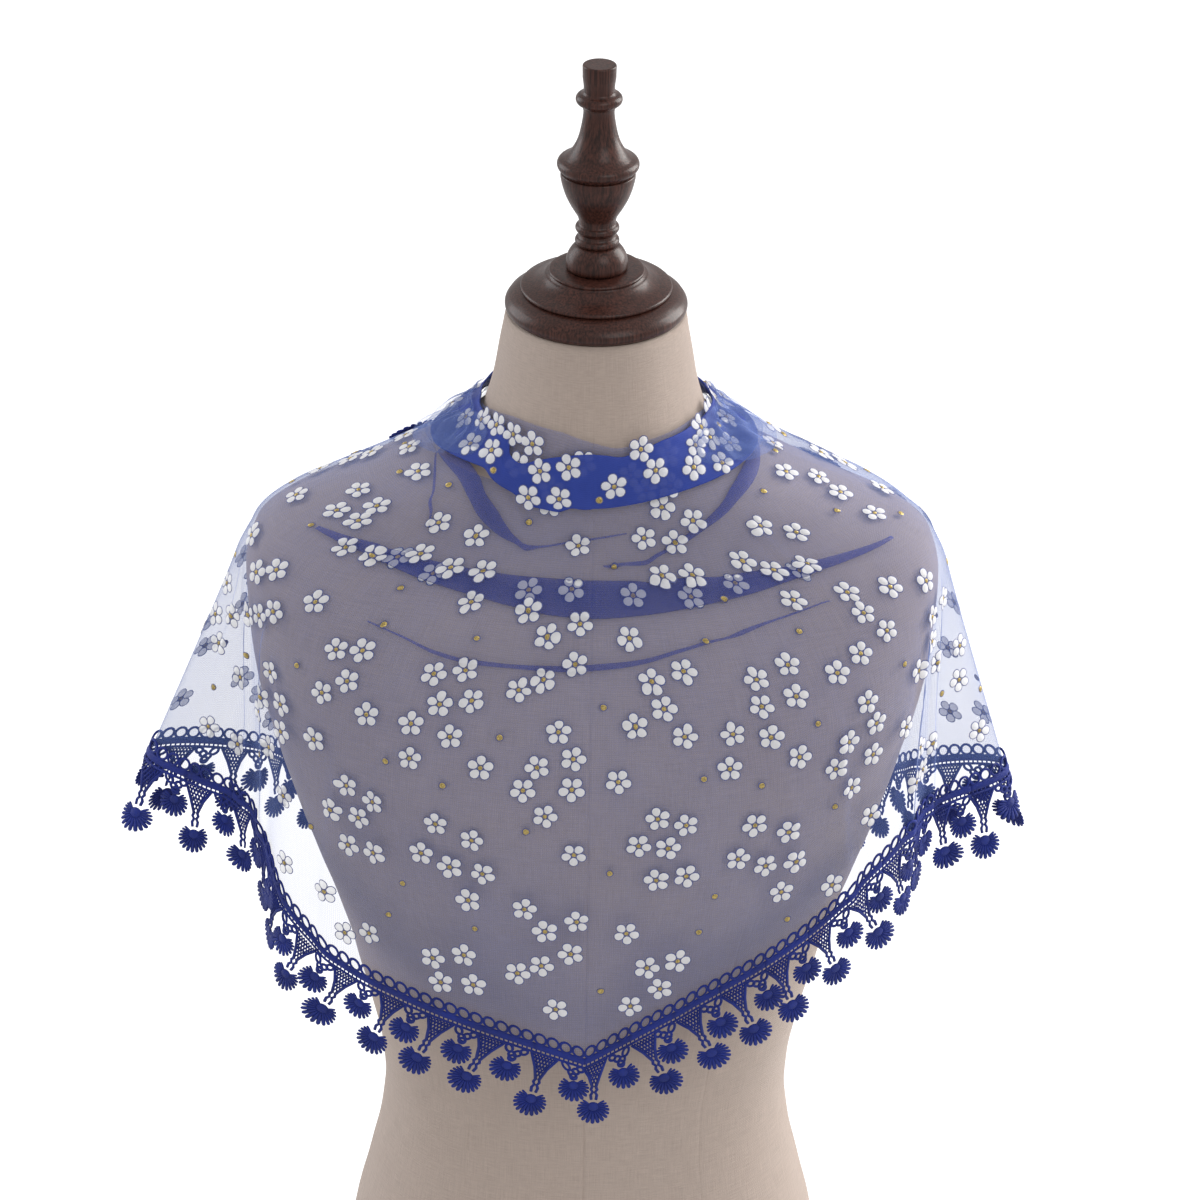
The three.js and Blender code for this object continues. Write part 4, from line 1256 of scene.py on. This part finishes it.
# Flowers on the wound band, those under its outer layer that show faintly, those under the
# broad fold's outer layer, and the band's gold dots: azimuth and height of each.
NECK_FLOWERS = [
    (-32, 635), (-26, 622), (-12, 626.5), (-30, 608), (-16, 609.5), (10, 617), (30, 622.5), (48, 618.5),
    (24, 635), (54, 627), (-56, 637), (-68, 634), (-44, 636.5), (-52, 623.5), (-64, 621), (64, 626),
    (63, 634.5), (72, 619.5), (61, 615.5), (86, 625), (-80, 626), (100, 631), (113, 621), (128, 629),
    (143, 621), (158, 631), (172, 620), (187, 629), (201, 622), (216, 631), (230, 621), (244, 628),
    (258, 619)]
FAINT_FLOWERS = [
    (-20, 614), (-5, 629), (18, 622), (25, 613.5), (38, 629), (36, 613.5), (-38, 622), (-60, 629),
    (79, 633), (-74, 618), (135, 634), (208, 616), (164, 622)]
FOLD_FLOWERS = [
    (-8, 561), (-24, 560), (16, 558.5), (48, 562.5), (-52, 564), (-61, 569), (35, 557.5), (62, 565.5)]
NECK_DOTS = [(-47, 616), (76, 627), (3, 610), (120, 626), (180, 636), (236, 634)]


def on_band(azimuth, z):
    """Place outwards of the wound band's outer face."""
    low, high = edges_at(NECK_BAND, azimuth % 360)
    level = np.clip((high - z) / (high - low), 0, 1)
    flat = (1 - (2 * level - 1) ** 2) ** 0.35
    return band_place(azimuth, level) + BAND_THICK * flat + 0.12


def in_band(azimuth, z):
    """Place outwards just under the wound band's outer layer."""
    return on_band(azimuth, z) - UNDER_BAND


def in_fold(azimuth, z):
    """Place outwards just under a fold's outer layer."""
    return NET_LAYER + over_folds(azimuth, z) - UNDER_FOLD


def make_neck_flowers(settings):
    """The flowers and gold dots on the wound band, on its outer face or just under it, and
    those that show faintly through the broad fold."""
    rng = np.random.default_rng(17)
    flower, dot = flower_shape(settings), dot_shape(settings)
    laid = []
    for shape, chart, lift_of in ((flower, NECK_FLOWERS, on_band), (flower, FAINT_FLOWERS, in_band),
                                  (flower, FOLD_FLOWERS, in_fold), (dot, NECK_DOTS, on_band)):
        azimuth, z = np.array(chart, float).T
        out = np.full(z.shape, OVER_NET_LAYER)
        wide = np.linalg.norm(drape_out(azimuth + 0.5, z, out) - drape_out(azimuth - 0.5, z, out), axis=1)
        down = np.linalg.norm(drape_out(azimuth, z + 0.5, out) - drape_out(azimuth, z - 0.5, out), axis=1)
        nodes = azimuth[:, None] + SPAN_NODES[None, :] / wide[:, None]
        placed = np.column_stack([azimuth, z, 1 / down, np.ones(len(z)), nodes])
        sizes = rng.uniform(*SPOT_SIZES, len(placed))
        turns = rng.uniform(0, math.tau, len(placed))
        laid.append((shape, spread_shapes(shape, placed, turns, sizes, lift_of)))
    return make_print("flowers_neck", "doubled_net", laid)


# ---- The lace edge ----

# How far a tassel swings to a side, in degrees, and the share by which it hangs longer.
SWING, STRETCH = 5, 0.035
# Distances below the net's edge between which the lace goes from following it to hanging.
HANG_START, HANG_FULL = 6, 21


def ring_strand(x, y, wide, long, lean, thread, count=12):
    """A closed oval eyelet."""
    angle = 2 * np.pi * np.arange(count) / count
    flat = np.stack([wide / 2 * np.cos(angle), long / 2 * np.sin(angle)], axis=1)
    c, s = math.cos(lean), math.sin(lean)
    return strand(flat @ np.array([[c, s], [-s, c]]) + [x, y], thread, thread * 0.85, closed=True)


def fan_strands(x, y, radius, rays, sweep=250):
    """A fan tassel: rays spread from a hub above its middle, touch each other, and part near
    their tips."""
    hub = np.array([x, y - 0.3 * radius])
    made = [pad(hub[0], hub[1], radius * 0.75, radius * 0.7, 0.85, 14)]
    spread = math.radians(sweep) / rays
    for angle in np.radians(np.linspace(-sweep / 2, sweep / 2, rays)):
        ahead = np.array([math.sin(angle), math.cos(angle)])
        long = 0.3 * radius * ahead[1] + radius * math.sqrt(1 - (0.3 * ahead[0]) ** 2)
        reach = np.array([0.25, 0.5, 0.7, 0.93, 1.0]) * long
        widths = np.minimum(reach * spread * 1.12, 0.8 * long * spread) * np.array([1, 1, 1, 0.96, 0.55])
        made.append(strand(hub + reach[:, None] * ahead, widths, 1.3))
    return made


def chain_strands(x_from, y_from, x_to, y_to, count, thread):
    """A curved chain of oval eyelets between two places, bowed down to the second."""
    share = (np.arange(count) + 0.5) / count
    x = x_from + (x_to - x_from) * np.sin(share * math.pi / 2)
    y = y_from + (y_to - y_from) * (1 - np.cos(share * math.pi / 2))
    lean = np.arctan2(np.gradient(y), np.gradient(x)) - math.pi / 2
    long = 1.12 * math.hypot(x_to - x_from, y_to - y_from) / count
    return [ring_strand(px, py, 3.5, long, turn, thread) for px, py, turn in zip(x, y, lean)]


def band_unit(length):
    """One repeat of the lace's upper band: open rings, a solid cord band, and a ladder."""
    rings, rungs, steps = 4, 11, 13
    pitch = length / rings
    made = [ring_strand((k + 0.5) * pitch, -5.0, pitch * 0.88, 6.8, 0, 1.6, 14) for k in range(rings)]
    run = np.linspace(-0.1, length + 0.1, steps)
    made.append(strand(np.stack([run, np.full(steps, 0.3)], axis=1), 4.6, 1.5, 8))
    made += [strand([((k + 0.5) * length / rungs, 1.6), ((k + 0.5) * length / rungs, 4.5)], 1.05, 0.9)
             for k in range(rungs)]
    made.append(strand(np.stack([run, np.full(steps, 4.5)], axis=1), 1.7, 1.2))
    return joined(made, [None] * len(made))


def fringe_unit(length, long_first):
    """One repeat of the hanging lace: a hatched point on a stem with a long fan, and two
    chains of eyelets that meet at a short fan."""
    long_x, short_x = (0.25 * length, 0.75 * length) if long_first else (0.75 * length, 0.25 * length)
    half, top, tip = 7.4, 4.9, 21.5
    hatches = 8
    point = []
    for side in (-1, 1):
        edge = [(half, top), (half * 0.46, (top + tip) / 2), (0.9, tip)]
        point.append(strand([(long_x + side * x, y) for x, y in edge], 1.9, 1.3))
        for k in range(1, hatches):
            share = k / hatches
            start = (long_x + side * half * (1 - 2 * share), top)
            end = (long_x + side * half * (1 - share), top + (tip - top) * share)
            point.append(strand([start, end], 0.95, 0.8, 4))
        stem = [(0.8, -1), (1.7, 1.6), (0.7, 3.4), (1.7, 5.4), (1.3, 8.4)]
        point.append(strand([(long_x + side * x, tip + y) for x, y in stem], 1.8, 1.25))
    for y, wide in ((7.4, 0.84), (10.0, 0.68), (12.8, 0.5), (15.8, 0.33)):
        point.append(strand([(long_x - half * wide, y), (long_x + half * wide, y)], 0.9, 0.7, 4))
    point += fan_strands(long_x, 37.4, 9.0, 17)
    chain = chain_strands(short_x - 6.2, 6.4, short_x, 15.4, 3, 1.7)
    chain += chain_strands(short_x + 6.2, 6.4, short_x, 14.2, 2, 1.7)
    chain += fan_strands(short_x, 21.6, 8.6, 16)
    return joined(point + chain, [long_x] * len(point) + [short_x] * len(chain))


def lace_stretch(half, start, end, wanted):
    """Distance along the net's edge against azimuth, and the repeat that fits it evenly."""
    along = np.linspace(start, end, 4000)
    edge = drape(body_side(half) * along, hem_height(half, along))
    run = np.concatenate([[0], np.cumsum(np.linalg.norm(np.diff(edge, axis=0), axis=1))])
    copies = max(1, round(run[-1] / wanted))
    return along, run, copies, run[-1] / copies


def lay_trim(unit, half, along, run, copies, length, hanging):
    """Copies of a flat unit laid along the net's edge. Near the edge a point follows it; from
    there the unit turns to hang as one piece, straight down, or leaning away from the net
    where the edge climbs at the back."""
    points = unit[0]
    x = (np.arange(copies) * length)[:, None] + points[:, 0][None, :]
    y = np.broadcast_to(points[:, 1], x.shape)
    anchor = (np.arange(copies) * length)[:, None] + unit[3][None, :]
    hang = smooth_step(HANG_START, HANG_FULL, y) if hanging else np.zeros_like(y)
    on_edge = np.interp(x, run, along)
    at_anchor = np.interp(anchor, run, along)
    past_end = x - np.clip(x, 0, run[-1])
    rng = np.random.default_rng(round(10 * run[-1]))
    which = (unit[3] > unit[3].mean()).astype(int)
    swing = rng.uniform(-1, 1, (copies, 2))[:, which] * (SWING if hanging else 0)
    y = y * (1 + STRETCH * rng.uniform(-1, 1, (copies, 2))[:, which] * hang)
    front = smooth_step(3, 14, at_anchor) * (1 - smooth_step(60, 82, at_anchor))
    lean = TRIM_LEAN * smooth_step(LEAN_START, LEAN_FULL, at_anchor) + FRONT_LEAN * front * hanging
    lean = np.radians(lean + swing)
    away = x - anchor
    z_edge = hem_height(half, on_edge)
    z_hang = hem_height(half, at_anchor) + away * np.sin(lean)
    side = body_side(half)
    middle = on_edge + (at_anchor - on_edge) * hang
    z = z_edge + (z_hang - z_edge) * hang - y * np.cos(lean)
    base = drape(side * middle, z)
    radius = np.hypot(base[..., 0], base[..., 1])
    here = np.linalg.norm(drape(side * (middle + 0.3), z) - drape(side * (middle - 0.3), z), axis=-1) / 0.6
    sideways = away * np.cos(lean) * hang + past_end * (1 - hang)
    azimuth = middle + (np.degrees(y * np.sin(lean) / radius) + sideways / here)
    lift = wing_lift(half, np.abs(azimuth), LACE_LAYER, OVER_LACE_LAYER)
    return drape_out(side * azimuth, z, lift + points[:, 2][None, :]).reshape(-1, 3)


def make_lace(kind, part, half, start, end, settings):
    """One stretch of the lace band or of its fringe."""
    along, run, copies, length = lace_stretch(half, start, end, settings.repeat)
    if kind == "band":
        unit = band_unit(length)
    else:
        unit = fringe_unit(length, half == "right")
    points = lay_trim(unit, half, along, run, copies, length, kind == "fringe")
    faces = [repeated(f, copies, len(unit[0])) for f in unit[1]]
    if half == "left":
        faces = [f[:, ::-1] for f in faces]
    uv = np.tile(unit[2], (copies, 1)) * MM
    node = f"lace_{kind}_{part}_{half}"
    piece = make_piece(f"{node}_threads", points, faces, [finish_named("lace")], uv)
    return settle(piece, "lace", node)


# ---- The studio ----

def make_floor(settings):
    """A wide pale floor, a little below the form's base."""
    reach = settings.floor_reach / MM
    points = [(x * reach, y * reach, -0.5) for x, y in ((-1, -1), (1, -1), (1, 1), (-1, 1))]
    faces = np.array([[0, 1, 2, 3]])
    floor = make_piece("studio_floor", points, faces, [floor_finish(settings)], smooth=False)


# Lamps: name, place and size in metres, power in watts and colour. All face LAMP_AIM.
SOFTBOXES = [
    ("Softbox right", (2.4, 1.3, 1.5), (1.6, 2.2), 98, (1, 0.98, 0.95)),
    ("Softbox left", (-2.4, 1.2, 1.4), (1.6, 2.2), 40, (0.97, 0.98, 1)),
    ("Softbox front", (1.4, -2.2, 2.6), (1.8, 1.8), 23, (1, 0.99, 0.97)),
]
LAMP_AIM = (0, 0, 0.5)


def add_softbox(name, place, size, power, tint):
    """A large soft lamp at a place, turned to face LAMP_AIM."""
    lamp = bpy.data.lights.new(name, "AREA")
    lamp.shape = "RECTANGLE"
    lamp.size, lamp.size_y = size
    lamp.energy = power
    lamp.color = tint
    made = bpy.data.objects.new(name, lamp)
    made.location = place
    x, y, z = np.array(place) - np.array(LAMP_AIM)
    made.rotation_euler = (math.atan2(math.hypot(x, y), z), 0, math.atan2(x, -y))
    bpy.context.scene.collection.objects.link(made)


def make_world(settings):
    """White surroundings, brighter to the eye than as a light."""
    world = bpy.data.worlds.new("Studio")
    world.use_nodes = True
    tree = world.node_tree
    tree.nodes.clear()
    path = tree.nodes.new("ShaderNodeLightPath")
    strength = math_node(tree, "MULTIPLY_ADD", path.outputs["Is Camera Ray"],
                         settings.backdrop - settings.ambient, settings.ambient)
    light = add_node(tree, "ShaderNodeBackground", {"Strength": strength})
    light.inputs["Color"].default_value = (1, 1, 1, 1)
    add_node(tree, "ShaderNodeOutputWorld", {"Surface": light.outputs[0]})
    bpy.context.scene.world = world


def make_camera(settings):
    """The camera at eye height in front, looking down at the chest."""
    lens = bpy.data.cameras.new("Camera")
    lens.sensor_width = 36
    lens.lens = settings.lens
    lens.clip_end = 50
    camera = bpy.data.objects.new("Camera", lens)
    camera.location = (settings.camera_side, -settings.camera_distance, settings.camera_height)
    camera.rotation_mode = "XYZ"
    raised = math.radians(90) - settings.camera_pitch
    turn = Matrix.Rotation(raised, 4, "X") @ Matrix.Rotation(settings.camera_roll, 4, "Z")
    camera.rotation_euler = turn.to_euler("XYZ")
    bpy.context.scene.collection.objects.link(camera)
    bpy.context.scene.camera = camera


# ---- Settings ----

def colour_prop(name, description, default):
    """A colour that a user may change."""
    return FloatVectorProperty(name=name, description=description, subtype="COLOR", size=3, min=0, max=1,
                               default=default)


def cover_prop(name, description, default):
    """A share from 0 to 1 of the light that a layer stops."""
    return FloatProperty(name=name, description=description, subtype="FACTOR", min=0, max=1, default=default)


def mm_prop(name, description, default):
    """A small size, kept in millimetres."""
    return FloatProperty(name=name, description=f"{description}, in millimetres", default=default)


def length_prop(name, description, default):
    """A length in metres."""
    return FloatProperty(name=name, description=description, unit="LENGTH", default=default)


def angle_prop(name, description, degrees):
    """An angle, given in degrees."""
    return FloatProperty(name=name, description=description, unit="ROTATION", default=math.radians(degrees))


def light_prop(name, description, default):
    """The strength of a light."""
    return FloatProperty(name=name, description=description, min=0, default=default)


def count_prop(name, description, default):
    """A number of rows or columns of a mesh."""
    return IntProperty(name=name, description=description, default=default, min=12)


class ShawlFormSettings(bpy.types.PropertyGroup):
    """The linen form and its turned cap and finial."""
    linen: colour_prop("Linen", "Colour of the linen", (0.47, 0.385, 0.335))
    walnut: colour_prop("Walnut", "Colour of the turned wood", (0.05, 0.017, 0.012))
    seam_width: mm_prop("Seam width", "Half width of a seam", 0.7)
    seam_depth: mm_prop("Seam depth", "How far a seam draws in", 0.55)
    form_columns: count_prop("Columns", "Columns round the form", 190)
    form_rows: count_prop("Rows", "Rows down the form", 170)
    turned_columns: count_prop("Turned columns", "Columns round the turned wood", 96)


class ShawlNetSettings(bpy.types.PropertyGroup):
    """The sheer net."""
    net: colour_prop("Net", "Colour of the net's threads", (0.10, 0.16, 0.42))
    doubled: colour_prop("Doubled", "Colour of the net where it lies doubled", (0.028, 0.055, 0.31))
    cover: cover_prop("Cover", "Share of the light that one layer stops", 0.29)
    doubled_cover: cover_prop("Doubled cover", "Share of the light that a fold's layer stops", 0.32)
    wound_cover: cover_prop("Wound cover", "Share of the light that the wound band's layer stops", 0.83)
    front_columns: count_prop("Front columns", "Columns across the front", 300)
    wing_columns: count_prop("Wing columns", "Columns along each wing", 280)
    net_rows: count_prop("Rows", "Rows down the net", 140)


class ShawlFlowerSettings(bpy.types.PropertyGroup):
    """The flocked flowers and gold dots."""
    petal: colour_prop("Petal", "Colour of the flock", (0.92, 0.92, 0.94))
    gold: colour_prop("Gold", "Colour of the glitter", (0.40, 0.30, 0.10))
    # Colour of the dark rim round each spot, partly a darker flock edge and partly painted shadow.
    rim: colour_prop("Rim", "Colour of the petal rim and its painted shadow", (0.06, 0.075, 0.21))
    petal_length: mm_prop("Petal length", "Length of a petal", 5.3)
    petal_width: mm_prop("Petal width", "Width of a petal", 4.75)
    petal_base: mm_prop("Petal base", "Distance of a petal from the middle", 1.75)
    eye: mm_prop("Eye", "Size of the glitter centre", 2.5)
    dot: mm_prop("Dot", "Size of a gold dot", 3.4)
    edge_margin: mm_prop("Edge margin", "How far the print stays clear of the lower edge", 16)


class ShawlLaceSettings(bpy.types.PropertyGroup):
    """The lace edge."""
    lace: colour_prop("Lace", "Colour of the thread", (0.010, 0.022, 0.185))
    repeat: mm_prop("Repeat", "Length of one repeat", 29.5)


class ShawlStageSettings(bpy.types.PropertyGroup):
    """The studio and the camera."""
    camera_distance: length_prop("Distance", "Camera to the axis, level", 2.075)
    camera_height: length_prop("Height", "Camera above the base", 1.665)
    camera_side: length_prop("Side", "Camera to the right of the axis", 0.0045)
    camera_pitch: angle_prop("Pitch", "How far it looks down", 29.03)
    camera_roll: angle_prop("Roll", "How far it is tilted", 0.9)
    lens: FloatProperty(name="Lens", description="Focal length, in millimetres", default=129)
    backdrop: light_prop("Backdrop", "Brightness of the surroundings to the eye", 1.15)
    ambient: light_prop("Ambient", "Brightness of the surroundings as a light", 0.72)
    floor_glow: light_prop("Floor glow", "Light that the floor gives", 0.22)
    floor_seen: light_prop("Floor seen", "Further brightness of the floor to the eye", 0.47)
    floor_reach: length_prop("Floor reach", "Half the floor's width", 9)


# ---- Operators ----

class SHAWL_OT_stage(bpy.types.Operator):
    """Make the floor, the soft lamps, the surroundings and the camera"""
    bl_idname = "shawl.stage"
    bl_label = "Stage"

    def execute(self, context):
        settings = context.scene.shawl_stage
        make_camera(settings)
        make_world(settings)
        make_floor(settings)
        for name, *rest in SOFTBOXES:
            add_softbox(name, *rest)
        context.scene.view_settings.view_transform = "Standard"
        return {"FINISHED"}


class SHAWL_OT_form(bpy.types.Operator):
    """Make the linen dress form"""
    bl_idname = "shawl.form"
    bl_label = "Dress form"

    def execute(self, context):
        make_form(context.scene.shawl_form)
        return {"FINISHED"}


class SHAWL_OT_turned(bpy.types.Operator):
    """Make the turned walnut cap and finial"""
    bl_idname = "shawl.turned"
    bl_label = "Turned wood"

    def execute(self, context):
        for name, (seat, runs) in turned_profiles().items():
            make_turned(name, seat, runs, context.scene.shawl_form)
        return {"FINISHED"}


class SHAWL_OT_net(bpy.types.Operator):
    """Make the front and both wings of the net"""
    bl_idname = "shawl.net"
    bl_label = "Net"

    def execute(self, context):
        make_front(context.scene.shawl_net)
        for half in ("left", "right"):
            make_wing(half, context.scene.shawl_net)
        return {"FINISHED"}


class SHAWL_OT_folds(bpy.types.Operator):
    """Make the folds that swing across the chest"""
    bl_idname = "shawl.folds"
    bl_label = "Folds"

    def execute(self, context):
        for name, rows in COWL_FOLDS.items():
            make_fold(name, rows)
        return {"FINISHED"}


class SHAWL_OT_neck(bpy.types.Operator):
    """Make the band wound round the neck and the layer that stands inside it"""
    bl_idname = "shawl.neck"
    bl_label = "Neck wrap"

    def execute(self, context):
        make_neck_band()
        make_neck_stand()
        make_neck_frill()
        return {"FINISHED"}


class SHAWL_OT_flowers(bpy.types.Operator):
    """Make the flocked flowers and gold dots on each net"""
    bl_idname = "shawl.flowers"
    bl_label = "Flowers"

    def execute(self, context):
        settings = context.scene.shawl_flowers
        make_flowers("flowers_front", -SIDE_LINE, SIDE_LINE, 0, lambda a: a,
                     lambda a, z: NET_LAYER + 0.1 + over_folds(a, z), 11, settings)
        make_flowers("flowers_wing_right", SIDE_LINE, 228, 180, lambda a: 0 * a + 1,
                     lambda a, z: wing_lift("right", a, NET_LAYER, OVER_NET_LAYER) + 0.1, 12, settings)
        make_flowers("flowers_wing_left", -228, -SIDE_LINE, -180, lambda a: 0 * a - 1,
                     lambda a, z: NET_LAYER + 0.1 + 0 * a, 13, settings)
        make_neck_flowers(settings)
        return {"FINISHED"}


class SHAWL_OT_lace(bpy.types.Operator):
    """Make the lace band and its fringe along both legs of the shawl"""
    bl_idname = "shawl.lace"
    bl_label = "Lace"

    def execute(self, context):
        settings = context.scene.shawl_lace
        for half in ("left", "right"):
            for part, start, end in (("front", 0, SIDE_LINE), ("back", SIDE_LINE, WING_END)):
                for kind in ("band", "fringe"):
                    make_lace(kind, part, half, start, end, settings)
        return {"FINISHED"}


class SHAWL_OT_cuts(bpy.types.Operator):
    """An empty step that makes nothing"""
    bl_idname = "shawl.cuts"
    bl_label = "Cuts"

    def execute(self, context):
        return {"FINISHED"}


class SHAWL_PT_panel(bpy.types.Panel):
    """The shawl's pieces and their sizes"""
    bl_label = "Shawl"
    bl_idname = "SHAWL_PT_panel"
    bl_space_type = "VIEW_3D"
    bl_region_type = "UI"
    bl_category = "Shawl"

    def draw(self, context):
        layout = self.layout
        for operator in OPERATORS:
            layout.operator(operator.bl_idname)
        for name, kind in SETTINGS.items():
            box = layout.box()
            box.label(text=kind.__doc__)
            for field in kind.__annotations__:
                box.prop(getattr(context.scene, name), field)


SETTINGS = {
    "shawl_form": ShawlFormSettings,
    "shawl_net": ShawlNetSettings,
    "shawl_flowers": ShawlFlowerSettings,
    "shawl_lace": ShawlLaceSettings,
    "shawl_stage": ShawlStageSettings,
}
OPERATORS = (
    SHAWL_OT_stage, SHAWL_OT_form, SHAWL_OT_turned, SHAWL_OT_net, SHAWL_OT_folds,
    SHAWL_OT_neck, SHAWL_OT_flowers, SHAWL_OT_lace, SHAWL_OT_cuts,
)


def register():
    for kind in (*SETTINGS.values(), *OPERATORS, SHAWL_PT_panel):
        bpy.utils.register_class(kind)
    for name, kind in SETTINGS.items():
        setattr(bpy.types.Scene, name, PointerProperty(type=kind))


def unregister():
    for name in SETTINGS:
        delattr(bpy.types.Scene, name)
    for kind in (SHAWL_PT_panel, *OPERATORS[::-1], *list(SETTINGS.values())[::-1]):
        bpy.utils.unregister_class(kind)


def main():
    """Registers the classes and makes every piece in order."""
    register()
    bpy.ops.shawl.stage()
    bpy.ops.shawl.form()
    bpy.ops.shawl.turned()
    bpy.ops.shawl.net()
    bpy.ops.shawl.folds()
    bpy.ops.shawl.neck()
    bpy.ops.shawl.flowers()
    bpy.ops.shawl.lace()
    bpy.ops.shawl.cuts()


if __name__ == "__main__":
    main()
